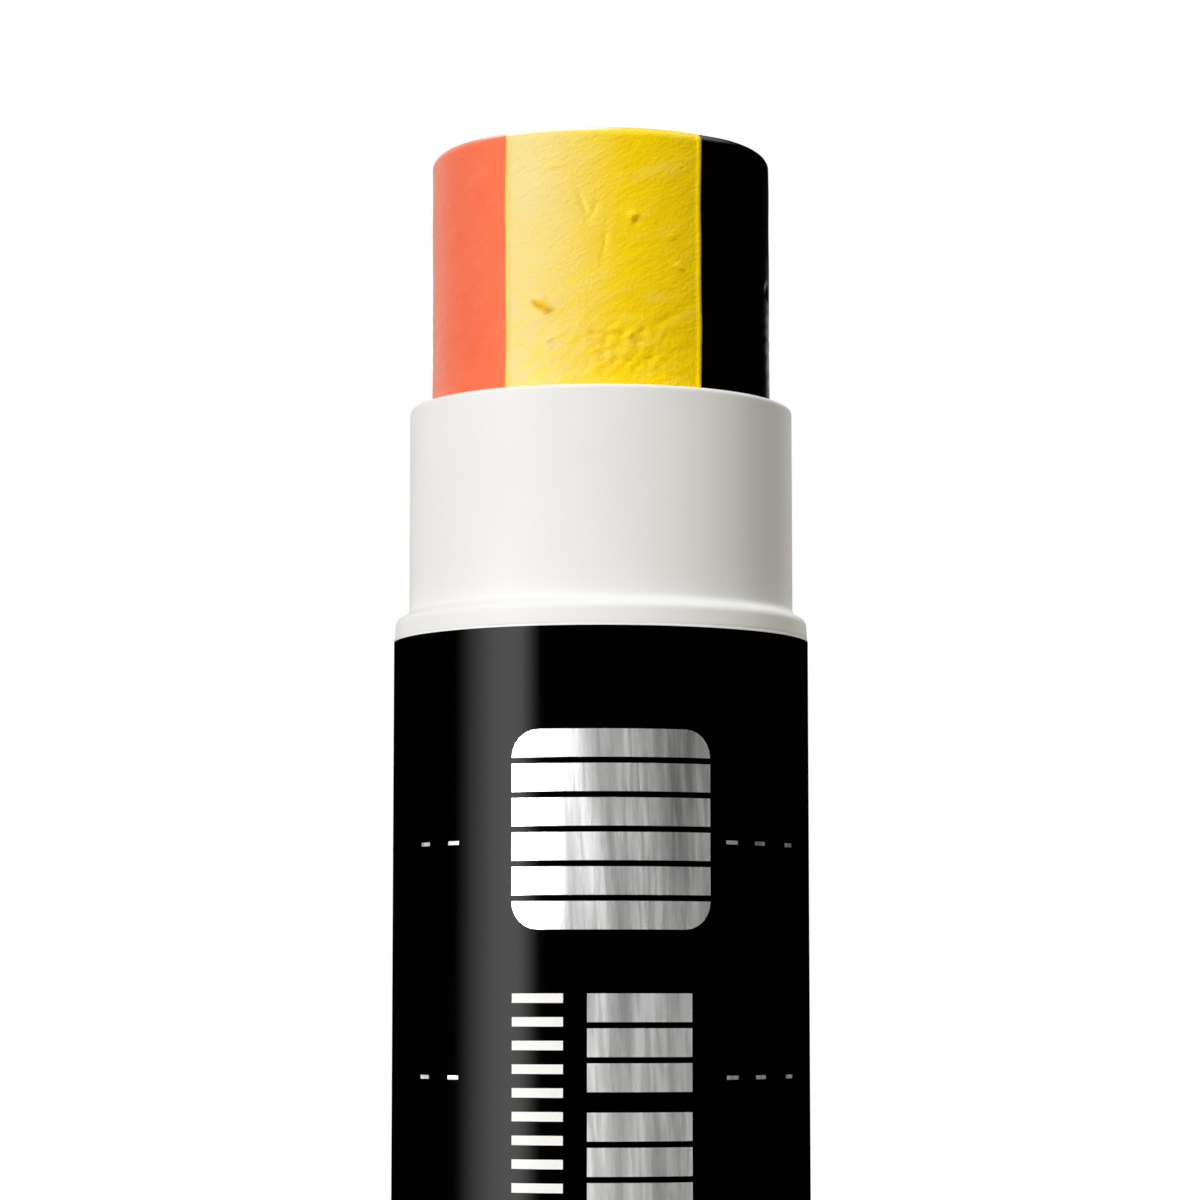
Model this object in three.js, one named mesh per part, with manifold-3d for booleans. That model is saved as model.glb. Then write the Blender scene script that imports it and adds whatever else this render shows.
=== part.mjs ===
// A twist-up solid paint marker with its cap off. Turning the knob at the foot turns a
// left-hand screw, and the carrier that climbs it lifts three slabs of paint out of the neck.
// Millimetres, +Z up, origin at the centre of the foot. The front faces -Y, the red paint
// lies towards -X and the black paint towards +X.

import * as THREE from "three";
import { mergeVertices } from "three/addons/utils/BufferGeometryUtils.js";
import Module from "manifold-3d";

const wasm = await Module();
wasm.setup();

// Facets
const SIDES = 48; // round a turned piece
const ARC_STEPS = 4; // in a rounded edge
const MERGE_DISTANCE = 1e-4;

// Fits between pieces
const RUNNING_GAP = 0.3; // endwise, between pieces that move against each other
const SLIDING_FIT = 0.2; // radial, where one piece slides or turns in another
const THREAD_FIT = 0.3; // radial, between the screw and its nut
const SNUG_FIT = 0.05; // where a piece is pressed, wrapped or cast in place

// Barrel
const BODY_RADIUS = 10.0; // over the label, the band below it and the knob
const BODY_WALL = 1.63; // label included
const BAND_HEIGHT = 2.2; // plain band below the label
const BAND_CHAMFER = 0.3;
const LABEL_HEIGHT = 83.0;
const LABEL_FILM = 0.17; // film, glue and print together
const LABEL_SLIT = 0.3; // where the film's two ends meet at the back
const BEAD_INSET = 0.03; // of the bead above the label, from the label's face
const BEAD_CHAMFER = 0.18; // along the bead's lower edge
const BEAD_HEIGHT = 0.68; // up to where its side starts to round over
const BEAD_ROUNDING = 0.2;
const SHOULDER_TURN = 58; // degrees that the bead's side turns through, into the shoulder
const SHOULDER_HEIGHT = 0.6; // of the rounding and the sloping shoulder, up to the neck
const NECK_WALL = 0.9;
const NECK_HEIGHT = 9.95; // straight part, from the shoulder to the rim
const RIM_ROUNDING = 0.22;
const KEYWAY_WIDTH = 2.6;
const KEYWAY_DEPTH = 0.7;
const KEYWAY_STOP = 1.55; // the keyways end this far below the top of the label

// Paint stick
const STICK_PLAY = 0.17; // radial, in the barrel's bore
const STICK_OUT = 12.4; // how far it stands out of the neck
const STICK_EDGE = 0.5; // rounding of its top edge
const RED_WIDTH = 3.7; // of the red slab, from the stick's side in to its seam
const BLACK_WIDTH = 3.47; // of the black slab, likewise
const STICK_SINK = 1.5; // how far its top goes below the rim when it is wound in
const SPINDLE_ROOM = 0.5; // round and above the spindle, in the yellow slab's bore

// Bearing pressed into the barrel's lower end
const SOCKET_WALL = 1.2;
const SOCKET_DEPTH = 6.2;
const WEB = 2.5;
const SNAP_DEPTH = 0.3; // of the groove that holds the bearing in the barrel
const SNAP_HEIGHT = 1.0;
const SNAP_BELOW_TOP = 2.4; // from the bearing's top down to the groove's middle

// Knob and its end plug
const KNOB_HEIGHT = 13.0;
const KNOB_ROUNDING = 0.7;
const KNOB_WALL = 1.9;
const KNOB_DECK = 1.8;
const KNOB_BOSS_RADIUS = 4.0;
const KNOB_BOSS_HEIGHT = 5.2; // below the deck
const FLUTES = 24;
const FLUTE_RADIUS = 0.9;
const FLUTE_DEPTH = 0.5;
const FLUTE_END = 2.4; // plain band above the flutes
const FLUTE_SIDES = 10;
const PLUG_LEDGE = 0.5;
const PLUG_DISC = 1.4;
const PLUG_SKIRT = 3.0;
const PLUG_SKIRT_WALL = 0.9;

// Spindle and its seal
const THREAD_LEAD = 6.0; // left-hand, one start
const THREAD_CREST = 2.8;
const THREAD_ROOT = 2.0;
const THREAD_SIDES = 12; // round the screw, and steps along each turn
const CREST_SIDES = 3; // of those, flat along the crest
const THREAD_SPARE = 2.5; // screw left above the nut at the top of its travel
const SPINDLE_TIP = 1.4;
const JOURNAL_RADIUS = 2.6;
const FLANGE_RADIUS = 4.6;
const FLANGE_HEIGHT = 1.5;
const TANG_WIDTH = 3.6;
const TANG_LENGTH = 11.6;
const SEAL_CORD = 1.0; // thickness of the ring
const SEAL_SIDES = 8;

// Carrier
const CARRIER_FLOOR = 1.4;
const CUP_DEPTH = 8.0;
const CUP_WALL = 0.75;
const WIPER_LIP = 0.12; // how far the lip at the cup's mouth stands out
const WIPER_HEIGHT = 0.9;
const NUT_RADIUS = 4.4;
const NUT_LENGTH = 7.0; // below the floor
const GUSSETS = 4;
const GUSSET_WIDTH = 0.9;
const GUSSET_HEIGHT = 4.6;
const GUSSET_MARGIN = 0.85; // from the gusset's outer end to the carrier's edge

// Radii that follow from these, and the seams across the stick
const BORE_RADIUS = BODY_RADIUS - BODY_WALL;
const NECK_RADIUS = BORE_RADIUS + NECK_WALL;
const BEAD_RADIUS = BODY_RADIUS - BEAD_INSET;
const STICK_RADIUS = BORE_RADIUS - STICK_PLAY;
const RED_SEAM = STICK_RADIUS - RED_WIDTH; // left of the axis
const BLACK_SEAM = STICK_RADIUS - BLACK_WIDTH; // right of the axis
const SOCKET_RADIUS = BORE_RADIUS - SNUG_FIT - SOCKET_WALL;
const LIP_RADIUS = BORE_RADIUS - SLIDING_FIT;
const CARRIER_RADIUS = LIP_RADIUS - WIPER_LIP;
const CUP_RADIUS = CARRIER_RADIUS - CUP_WALL;
const KNOB_CAVITY = BODY_RADIUS - KNOB_WALL;

// Heights, from the foot upwards
const BARREL_FOOT = KNOB_HEIGHT + RUNNING_GAP;
const PANEL_FOOT = BARREL_FOOT + BAND_HEIGHT;
const PANEL_TOP = PANEL_FOOT + LABEL_HEIGHT + SNUG_FIT;
const BEAD_TOP = PANEL_TOP + BEAD_HEIGHT;
const NECK_FOOT = BEAD_TOP + SHOULDER_HEIGHT;
const RIM = NECK_FOOT + NECK_HEIGHT;
const WEB_FOOT = BARREL_FOOT + SOCKET_DEPTH;
const WEB_TOP = WEB_FOOT + WEB;
const SPIGOT_TOP = WEB_FOOT - SEAL_CORD - 2 * SNUG_FIT;
const SNAP_MIDDLE = WEB_TOP - SNAP_BELOW_TOP;
const FLANGE_FOOT = WEB_TOP + RUNNING_GAP;
const FLANGE_TOP = FLANGE_FOOT + FLANGE_HEIGHT;
const STICK_TOP = RIM + STICK_OUT;
const KEYWAY_TOP = PANEL_TOP - KEYWAY_STOP;

// The carrier stands its whole travel down above the spindle's flange, and its travel up
// ends where the keyways end
const TRAVEL_DOWN = STICK_OUT + STICK_SINK;
const NUT_FOOT = FLANGE_TOP + RUNNING_GAP + TRAVEL_DOWN;
const FLOOR_FOOT = NUT_FOOT + NUT_LENGTH;
const FLOOR_TOP = FLOOR_FOOT + CARRIER_FLOOR;
const CUP_TOP = FLOOR_TOP + CUP_DEPTH;
const TRAVEL_UP = KEYWAY_TOP - RUNNING_GAP - CUP_TOP;
const THREAD_TOP = FLOOR_TOP + TRAVEL_UP + THREAD_SPARE;
const SPINDLE_TOP = THREAD_TOP + SPINDLE_TIP;

// A point [radius, height] list for a rounded corner, from one angle to another in degrees
function corner(radius, height, size, from, to) {
  const points = [];
  for (let step = 0; step <= ARC_STEPS; step += 1) {
    const angle = THREE.MathUtils.degToRad(from + ((to - from) * step) / ARC_STEPS);
    points.push([radius + size * Math.cos(angle), height + size * Math.sin(angle)]);
  }
  return points;
}

// A closed geometry as a solid that can be joined and cut
function solid(geometry) {
  geometry.deleteAttribute("normal");
  geometry.deleteAttribute("uv");
  const merged = mergeVertices(geometry, MERGE_DISTANCE);
  return new wasm.Manifold(
    new wasm.Mesh({
      numProp: 3,
      vertProperties: new Float32Array(merged.attributes.position.array),
      triVerts: new Uint32Array(merged.index.array),
    }),
  );
}

// Outline of [radius, height] points turned about Z, outer side running upwards. An outline
// that leaves the axis open is closed on itself, and makes a ring.
function turned(outline, sides = SIDES) {
  const points = outline.map(([radius, height]) => new THREE.Vector2(radius, height));
  const first = points[0];
  if (first.x > 0) points.push(first.clone());
  const geometry = new THREE.LatheGeometry(points, sides);
  geometry.rotateX(Math.PI / 2);
  return solid(geometry);
}

function cylinder(radius, low, high, sides = SIDES) {
  return turned([[0, low], [radius, low], [radius, high], [0, high]], sides);
}

function block(xLow, xHigh, yLow, yHigh, low, high) {
  const geometry = new THREE.BoxGeometry(xHigh - xLow, yHigh - yLow, high - low);
  geometry.translate((xLow + xHigh) / 2, (yLow + yHigh) / 2, (low + high) / 2);
  return solid(geometry);
}

// Each piece of a pattern that is turned evenly about Z, joined
function around(count, make) {
  let joined = null;
  for (let index = 0; index < count; index += 1) {
    const geometry = make();
    geometry.rotateZ((index * 2 * Math.PI) / count);
    const one = solid(geometry);
    joined = joined ? joined.add(one) : one;
  }
  return joined;
}

// Two bars on opposite sides of the axis, along Y, that fill or cut the keyways
function keyBars(inner, outer, width, low, high) {
  const right = block(inner, outer, -width / 2, width / 2, low, high);
  const left = block(-outer, -inner, -width / 2, width / 2, low, high);
  return right.add(left);
}

// A left-hand screw. Its section is the same at every height and turns clockwise, seen from
// above, by one turn for each lead climbed, so a nut cut with the same call is in mesh.
function screw(root, crest, low, high) {
  const section = new Array(THREAD_SIDES).fill(root);
  section.fill(crest, 0, CREST_SIDES + 1);
  section[CREST_SIDES + 1] = (root + crest) / 2;
  section[THREAD_SIDES - 1] = (root + crest) / 2;
  const rings = Math.ceil(((high - low) / THREAD_LEAD) * THREAD_SIDES);
  const positions = [];
  const triangles = [];
  for (let ring = 0; ring <= rings; ring += 1) {
    const height = low + ((high - low) * ring) / rings;
    section.forEach((radius, index) => {
      const angle = 2 * Math.PI * (index / THREAD_SIDES - height / THREAD_LEAD);
      positions.push(radius * Math.cos(angle), radius * Math.sin(angle), height);
    });
  }
  for (let ring = 0; ring < rings; ring += 1) {
    for (let index = 0; index < THREAD_SIDES; index += 1) {
      const next = (index + 1) % THREAD_SIDES;
      const a = ring * THREAD_SIDES + index;
      const b = ring * THREAD_SIDES + next;
      triangles.push(a, b, b + THREAD_SIDES, a, b + THREAD_SIDES, a + THREAD_SIDES);
    }
  }
  const foot = positions.length / 3;
  positions.push(0, 0, low, 0, 0, high);
  for (let index = 0; index < THREAD_SIDES; index += 1) {
    const next = (index + 1) % THREAD_SIDES;
    triangles.push(foot, next, index);
    triangles.push(foot + 1, rings * THREAD_SIDES + index, rings * THREAD_SIDES + next);
  }
  const geometry = new THREE.BufferGeometry();
  geometry.setAttribute("position", new THREE.Float32BufferAttribute(positions, 3));
  geometry.setIndex(triangles);
  return solid(geometry);
}

function barrel() {
  const panelRadius = BODY_RADIUS - LABEL_FILM - SNUG_FIT;
  const snapHalf = SNAP_HEIGHT / 2;
  const shell = turned([
    [BORE_RADIUS, BARREL_FOOT],
    [BODY_RADIUS - BAND_CHAMFER, BARREL_FOOT],
    [BODY_RADIUS, BARREL_FOOT + BAND_CHAMFER],
    [BODY_RADIUS, PANEL_FOOT],
    [panelRadius, PANEL_FOOT],
    [panelRadius, PANEL_TOP],
    [BEAD_RADIUS - BEAD_CHAMFER, PANEL_TOP],
    [BEAD_RADIUS, PANEL_TOP + BEAD_CHAMFER],
    ...corner(BEAD_RADIUS - BEAD_ROUNDING, BEAD_TOP, BEAD_ROUNDING, 0, SHOULDER_TURN),
    [NECK_RADIUS, NECK_FOOT],
    ...corner(NECK_RADIUS - RIM_ROUNDING, RIM - RIM_ROUNDING, RIM_ROUNDING, 0, 90),
    [BORE_RADIUS + RIM_ROUNDING, RIM],
    [BORE_RADIUS, RIM - RIM_ROUNDING],
    [BORE_RADIUS, SNAP_MIDDLE + snapHalf + SNAP_DEPTH],
    [BORE_RADIUS + SNAP_DEPTH, SNAP_MIDDLE + snapHalf],
    [BORE_RADIUS + SNAP_DEPTH, SNAP_MIDDLE - snapHalf],
    [BORE_RADIUS, SNAP_MIDDLE - snapHalf - SNAP_DEPTH],
  ]);
  const keyways = keyBars(
    BORE_RADIUS - 2 * KEYWAY_DEPTH,
    BORE_RADIUS + KEYWAY_DEPTH,
    KEYWAY_WIDTH,
    BARREL_FOOT - RUNNING_GAP,
    KEYWAY_TOP,
  );
  return shell.subtract(keyways);
}

function labelFilm() {
  const inner = BODY_RADIUS - LABEL_FILM;
  const sleeve = turned([
    [inner, PANEL_FOOT + SNUG_FIT],
    [BODY_RADIUS, PANEL_FOOT + SNUG_FIT],
    [BODY_RADIUS, PANEL_FOOT + LABEL_HEIGHT],
    [inner, PANEL_FOOT + LABEL_HEIGHT],
  ]);
  const slit = block(
    -LABEL_SLIT / 2,
    LABEL_SLIT / 2,
    BODY_RADIUS / 2,
    2 * BODY_RADIUS,
    BARREL_FOOT,
    RIM,
  );
  return sleeve.subtract(slit);
}

function bearingInsert() {
  const outer = BORE_RADIUS - SNUG_FIT;
  const snapHalf = SNAP_HEIGHT / 2 - SNUG_FIT;
  const bored = JOURNAL_RADIUS + SLIDING_FIT;
  const ring = turned([
    [SOCKET_RADIUS, BARREL_FOOT],
    [outer, BARREL_FOOT],
    [outer, SNAP_MIDDLE - snapHalf - SNAP_DEPTH],
    [outer + SNAP_DEPTH, SNAP_MIDDLE - snapHalf],
    [outer + SNAP_DEPTH, SNAP_MIDDLE + snapHalf],
    [outer, SNAP_MIDDLE + snapHalf + SNAP_DEPTH],
    [outer, WEB_TOP],
    [bored, WEB_TOP],
    [bored, WEB_FOOT],
    [SOCKET_RADIUS, WEB_FOOT],
  ]);
  const lugs = keyBars(
    SOCKET_RADIUS + SNUG_FIT,
    BORE_RADIUS + KEYWAY_DEPTH - SNUG_FIT,
    KEYWAY_WIDTH - 2 * SNUG_FIT,
    BARREL_FOOT,
    WEB_TOP,
  );
  return ring.add(lugs);
}

function knob() {
  const deckFoot = KNOB_HEIGHT - KNOB_DECK;
  const bossFoot = deckFoot - KNOB_BOSS_HEIGHT;
  const spigot = SOCKET_RADIUS - SLIDING_FIT;
  const side = BODY_RADIUS - KNOB_ROUNDING;
  const ledge = KNOB_CAVITY + PLUG_LEDGE;
  const cup = turned([
    [ledge, 0],
    ...corner(side, KNOB_ROUNDING, KNOB_ROUNDING, -90, 0),
    ...corner(side, KNOB_HEIGHT - KNOB_ROUNDING, KNOB_ROUNDING, 0, 90),
    [spigot, KNOB_HEIGHT],
    [spigot, SPIGOT_TOP],
    [0, SPIGOT_TOP],
    [0, bossFoot],
    [KNOB_BOSS_RADIUS, bossFoot],
    [KNOB_BOSS_RADIUS, deckFoot],
    [KNOB_CAVITY, deckFoot],
    [KNOB_CAVITY, PLUG_DISC],
    [ledge, PLUG_DISC],
  ]);
  const flutes = around(FLUTES, () => {
    const geometry = new THREE.CylinderGeometry(
      FLUTE_RADIUS,
      FLUTE_RADIUS,
      KNOB_HEIGHT,
      FLUTE_SIDES,
    );
    geometry.rotateX(Math.PI / 2);
    geometry.translate(
      BODY_RADIUS + FLUTE_RADIUS - FLUTE_DEPTH,
      0,
      KNOB_HEIGHT / 2 - FLUTE_END,
    );
    return geometry;
  });
  const half = TANG_WIDTH / 2 + SNUG_FIT;
  const socket = block(-half, half, -half, half, bossFoot - WEB, SPIGOT_TOP + WEB);
  return cup.subtract(flutes).subtract(socket);
}

function knobEndPlug() {
  const disc = KNOB_CAVITY + PLUG_LEDGE - SNUG_FIT;
  const skirt = KNOB_CAVITY - SNUG_FIT;
  const discTop = PLUG_DISC - SNUG_FIT;
  return turned([
    [0, 0],
    [disc, 0],
    [disc, discTop],
    [skirt, discTop],
    [skirt, discTop + PLUG_SKIRT],
    [skirt - PLUG_SKIRT_WALL, discTop + PLUG_SKIRT],
    [skirt - PLUG_SKIRT_WALL, discTop],
    [0, discTop],
  ]);
}

function spindle() {
  const half = TANG_WIDTH / 2;
  const tang = block(-half, half, -half, half, SPIGOT_TOP - TANG_LENGTH, WEB_FOOT);
  const journal = cylinder(JOURNAL_RADIUS, SPIGOT_TOP + SNUG_FIT, FLANGE_TOP);
  const flange = cylinder(FLANGE_RADIUS, FLANGE_FOOT, FLANGE_TOP);
  const thread = screw(THREAD_ROOT, THREAD_CREST, FLANGE_FOOT, THREAD_TOP);
  const tip = turned([
    [0, THREAD_TOP - SPINDLE_TIP],
    [THREAD_ROOT * Math.cos(Math.PI / THREAD_SIDES), THREAD_TOP - SPINDLE_TIP],
    [THREAD_ROOT * Math.cos(Math.PI / THREAD_SIDES), THREAD_TOP],
    [THREAD_ROOT / 2, SPINDLE_TOP],
    [0, SPINDLE_TOP],
  ]);
  return tang.add(journal).add(flange).add(thread).add(tip);
}

function sealRing() {
  const cord = SEAL_CORD / 2;
  const geometry = new THREE.TorusGeometry(
    JOURNAL_RADIUS + SLIDING_FIT + cord,
    cord,
    SEAL_SIDES,
    SIDES / 2,
  );
  geometry.translate(0, 0, SPIGOT_TOP + SNUG_FIT + cord);
  return solid(geometry);
}

function carrier() {
  const body = turned([
    [0, NUT_FOOT],
    [NUT_RADIUS, NUT_FOOT],
    [NUT_RADIUS, FLOOR_FOOT],
    [CARRIER_RADIUS, FLOOR_FOOT],
    [CARRIER_RADIUS, CUP_TOP - WIPER_HEIGHT],
    [LIP_RADIUS, CUP_TOP - WIPER_HEIGHT / 2],
    [LIP_RADIUS, CUP_TOP],
    [CUP_RADIUS, CUP_TOP],
    [CUP_RADIUS, FLOOR_TOP],
    [0, FLOOR_TOP],
  ]);
  const keys = keyBars(
    CARRIER_RADIUS - CUP_WALL / 2,
    BORE_RADIUS + KEYWAY_DEPTH - SLIDING_FIT,
    KEYWAY_WIDTH - 2 * SLIDING_FIT,
    FLOOR_FOOT,
    CUP_TOP,
  );
  const gussetEnd = CARRIER_RADIUS - GUSSET_MARGIN;
  const gussets = around(GUSSETS, () => {
    const outline = new THREE.Shape([
      new THREE.Vector2(THREAD_CREST + THREAD_FIT, FLOOR_FOOT - GUSSET_HEIGHT),
      new THREE.Vector2(NUT_RADIUS, FLOOR_FOOT - GUSSET_HEIGHT),
      new THREE.Vector2(gussetEnd, FLOOR_FOOT),
      new THREE.Vector2(gussetEnd, FLOOR_FOOT + CARRIER_FLOOR / 2),
      new THREE.Vector2(THREAD_CREST + THREAD_FIT, FLOOR_FOOT + CARRIER_FLOOR / 2),
    ]);
    const geometry = new THREE.ExtrudeGeometry(outline, {
      depth: GUSSET_WIDTH,
      bevelEnabled: false,
    });
    geometry.rotateX(Math.PI / 2);
    geometry.translate(0, GUSSET_WIDTH / 2, 0);
    return geometry;
  });
  const nut = screw(
    THREAD_ROOT + THREAD_FIT,
    THREAD_CREST + THREAD_FIT,
    NUT_FOOT - CARRIER_FLOOR,
    FLOOR_TOP + CARRIER_FLOOR,
  );
  return body.add(keys).add(gussets).subtract(nut);
}

// The whole stick, with its foot drawn in to fit the carrier's cup, before it is slabbed
function paintStick() {
  const foot = CUP_RADIUS - SNUG_FIT;
  const cast = turned([
    [0, FLOOR_TOP + SNUG_FIT],
    [foot, FLOOR_TOP + SNUG_FIT],
    [foot, CUP_TOP + SNUG_FIT],
    [STICK_RADIUS, CUP_TOP + SNUG_FIT],
    ...corner(STICK_RADIUS - STICK_EDGE, STICK_TOP - STICK_EDGE, STICK_EDGE, 0, 90),
    [0, STICK_TOP],
  ]);
  const bore = cylinder(
    THREAD_CREST + SPINDLE_ROOM,
    FLOOR_FOOT,
    SPINDLE_TOP + TRAVEL_DOWN + SPINDLE_ROOM,
    SIDES / 2,
  );
  return cast.subtract(bore);
}

// The part of the stick between two flat seams across it
function slab(stick, left, right) {
  return stick.intersect(
    block(left, right, -2 * STICK_RADIUS, 2 * STICK_RADIUS, FLOOR_FOOT, 2 * STICK_TOP),
  );
}

function finish(color, roughness) {
  return new THREE.MeshStandardMaterial({ color, roughness, metalness: 0 });
}

const finishes = {
  whitePlastic: finish(0xeeece6, 0.42),
  blackFilm: finish(0x060606, 0.3),
  greyPlastic: finish(0xc9c7c0, 0.45),
  naturalPlastic: finish(0xdedad0, 0.5),
  blackRubber: finish(0x1c1c1c, 0.8),
  redPaint: finish(0xf87a58, 0.6),
  yellowPaint: finish(0xf2cf1c, 0.6),
  blackPaint: finish(0x050505, 0.45),
};

// The pieces that stay still, those that turn with the knob and those that the screw lifts
const marker = new THREE.Group();
const still = new THREE.Group();
const turning = new THREE.Group();
const lifted = new THREE.Group();
marker.add(still, turning, lifted);

function place(group, name, shape, material) {
  const mesh = shape.getMesh();
  const geometry = new THREE.BufferGeometry();
  geometry.setAttribute("position", new THREE.BufferAttribute(mesh.vertProperties, 3));
  geometry.setIndex(new THREE.BufferAttribute(mesh.triVerts, 1));
  geometry.computeVertexNormals();
  const node = new THREE.Mesh(geometry, material);
  node.name = name;
  group.add(node);
}

const stick = paintStick();
const reach = 2 * STICK_RADIUS;

place(still, "barrel", barrel(), finishes.whitePlastic);
place(still, "label_film", labelFilm(), finishes.blackFilm);
place(still, "bearing_insert", bearingInsert(), finishes.greyPlastic);

place(turning, "knob", knob(), finishes.whitePlastic);
place(turning, "knob_end_plug", knobEndPlug(), finishes.whitePlastic);
place(turning, "spindle", spindle(), finishes.naturalPlastic);
place(turning, "seal_ring", sealRing(), finishes.blackRubber);

place(lifted, "carrier", carrier(), finishes.naturalPlastic);
place(lifted, "paint_red", slab(stick, -reach, -RED_SEAM), finishes.redPaint);
place(lifted, "paint_yellow", slab(stick, -RED_SEAM, BLACK_SEAM), finishes.yellowPaint);
place(lifted, "paint_black", slab(stick, BLACK_SEAM, reach), finishes.blackPaint);

export default marker;
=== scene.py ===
"""Looks of a twist-up solid paint marker with its cap off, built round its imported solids.

Blender's metres, in the frame of the solids: +Z up, the foot at the origin, the printed front
towards -Y, the red paint towards -X and the black paint towards +X. Sizes in the marker's
classes are in millimetres and the studio's are in metres. An azimuth is in degrees round +Z,
from the front towards the black paint.
"""

import logging
import math
from dataclasses import dataclass, field
from enum import Enum
from functools import cache

import bpy
import numpy as np
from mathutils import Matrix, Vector, noise


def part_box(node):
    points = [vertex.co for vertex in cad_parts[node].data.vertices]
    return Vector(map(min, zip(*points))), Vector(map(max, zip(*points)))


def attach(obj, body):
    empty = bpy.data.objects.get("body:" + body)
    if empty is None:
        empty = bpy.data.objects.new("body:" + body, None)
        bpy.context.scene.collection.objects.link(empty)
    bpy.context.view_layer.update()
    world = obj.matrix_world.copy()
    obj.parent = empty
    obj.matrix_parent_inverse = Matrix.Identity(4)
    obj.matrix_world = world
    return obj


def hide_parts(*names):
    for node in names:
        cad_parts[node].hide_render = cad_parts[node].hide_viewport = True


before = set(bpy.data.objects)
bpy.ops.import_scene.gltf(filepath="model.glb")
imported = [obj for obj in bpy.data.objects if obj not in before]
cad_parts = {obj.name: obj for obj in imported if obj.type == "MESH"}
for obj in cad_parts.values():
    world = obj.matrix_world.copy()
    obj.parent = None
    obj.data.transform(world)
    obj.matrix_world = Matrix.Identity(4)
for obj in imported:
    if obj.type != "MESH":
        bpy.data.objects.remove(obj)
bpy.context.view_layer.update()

LOG = logging.getLogger("marker")

MM = 0.001
TURN = 360.0

Outline = list[tuple[float | np.ndarray, float]]
Pair = tuple[float, float]
Span = Pair
Triple = tuple[float, float, float]
Colour = Triple
Mesh = bpy.types.Mesh
Material = bpy.types.Material
Thing = bpy.types.Object
Socket = bpy.types.NodeSocket
Sockets = bpy.types.bpy_prop_collection

NOISE_REACH: Span = (0.3, 0.7)
NEXT_TO_NOUGHT = 1e-6


def grey(level: float) -> Colour:
    """A colour without a hue."""
    return (level, level, level)


class Body(Enum):
    """The bodies of the frame that a piece can ride on."""

    BARREL = "barrel_body"
    KNOB = "knob_body"
    CARRIER = "carrier_body"


class Slot(Enum):
    """The material slots of the record."""

    WHITE_PLASTIC = "white_plastic"
    BLACK_FILM = "black_film"
    RED_PAINT = "red_paint"
    YELLOW_PAINT = "yellow_paint"
    BLACK_PAINT = "black_paint"


class Ends(Enum):
    """How a loft's first and last ring are closed."""

    POLES = "each to a point of its own"
    LOOP = "to each other"


def arc(centre: Pair, size: float, start: float, end: float, steps: int = 6) -> Outline:
    """Points of a round corner between two angles in degrees, which run from outwards to upwards."""
    angles = np.radians(np.linspace(start, end, steps + 1))
    return [(centre[0] + size * math.cos(a), centre[1] + size * math.sin(a)) for a in angles]


def held(outline: Outline, margin: float = 0.12) -> Outline:
    """Adds a point near both ends of each long stretch, so that its shading stays flat.

    Args:
        outline: The outline, taken as closed on itself.
        margin: Distance of the added points from the ends, in millimetres.

    Returns:
        The outline with the points added.
    """
    points: Outline = []
    for here, there in zip(outline, outline[1:] + outline[:1]):
        points.append(here)
        length = math.hypot(np.mean(there[0]) - np.mean(here[0]), there[1] - here[1])
        if length > 3 * margin:
            for share in (margin / length, 1 - margin / length):
                radius = here[0] + (there[0] - here[0]) * share
                points.append((radius, here[1] + (there[1] - here[1]) * share))
    return points


def even_azimuths(count: int) -> np.ndarray:
    """Azimuths of a full turn in even steps, the front first."""
    return np.arange(count) * TURN / count


def around(radius: float | np.ndarray, height: float | np.ndarray, azimuths: np.ndarray) -> np.ndarray:
    """Points at azimuths on a surface about the axis.

    Args:
        radius: Distance from the axis in millimetres, one for all or one each.
        height: Height in millimetres, one for all or one each.
        azimuths: The azimuths in degrees.

    Returns:
        The points in metres, one row each.
    """
    angles = np.radians(azimuths)
    spread = np.broadcast_to(radius, angles.shape)
    lift = np.broadcast_to(height, angles.shape)
    return np.stack([spread * np.sin(angles), -spread * np.cos(angles), lift], axis=-1) * MM


def azimuths_of(points: np.ndarray) -> np.ndarray:
    """The azimuth in degrees of each point, from its x and y."""
    return np.degrees(np.arctan2(points[:, 0], -points[:, 1]))


def level_ring(outline: np.ndarray, height: float) -> np.ndarray:
    """An outline seen from above, lifted to a height."""
    return np.column_stack([outline, np.full(len(outline), height)])


def loft(name: str, rings: np.ndarray, ends: Ends) -> Mesh:
    """Skins rings of points into one closed mesh with its faces outwards.

    Args:
        name: Name of the mesh.
        rings: Points in metres by ring, place in the ring and axis. The rings run anticlockwise
            seen from above, and climb on the outer side.
        ends: How the first and the last ring are closed.

    Returns:
        The mesh.
    """
    count, places = rings.shape[:2]
    index = np.arange(count * places).reshape(count, places)
    lower = index if ends is Ends.LOOP else index[:-1]
    upper = np.roll(index, -1, axis=0) if ends is Ends.LOOP else index[1:]
    corners = [lower, np.roll(lower, -1, axis=1), np.roll(upper, -1, axis=1), upper]
    faces = np.stack(corners, axis=-1).reshape(-1, 4).tolist()
    points = rings.reshape(-1, 3).tolist()
    if ends is Ends.POLES:
        for ring, step in ((index[0], -1), (index[-1], 1)):
            pole = len(points)
            points.append(rings.reshape(-1, 3)[ring].mean(axis=0).tolist())
            faces += [[int(a), int(b), pole][::step] for a, b in zip(ring, np.roll(ring, -1))]
    mesh = bpy.data.meshes.new(name)
    mesh.from_pydata(points, [], faces)
    return mesh


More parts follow.
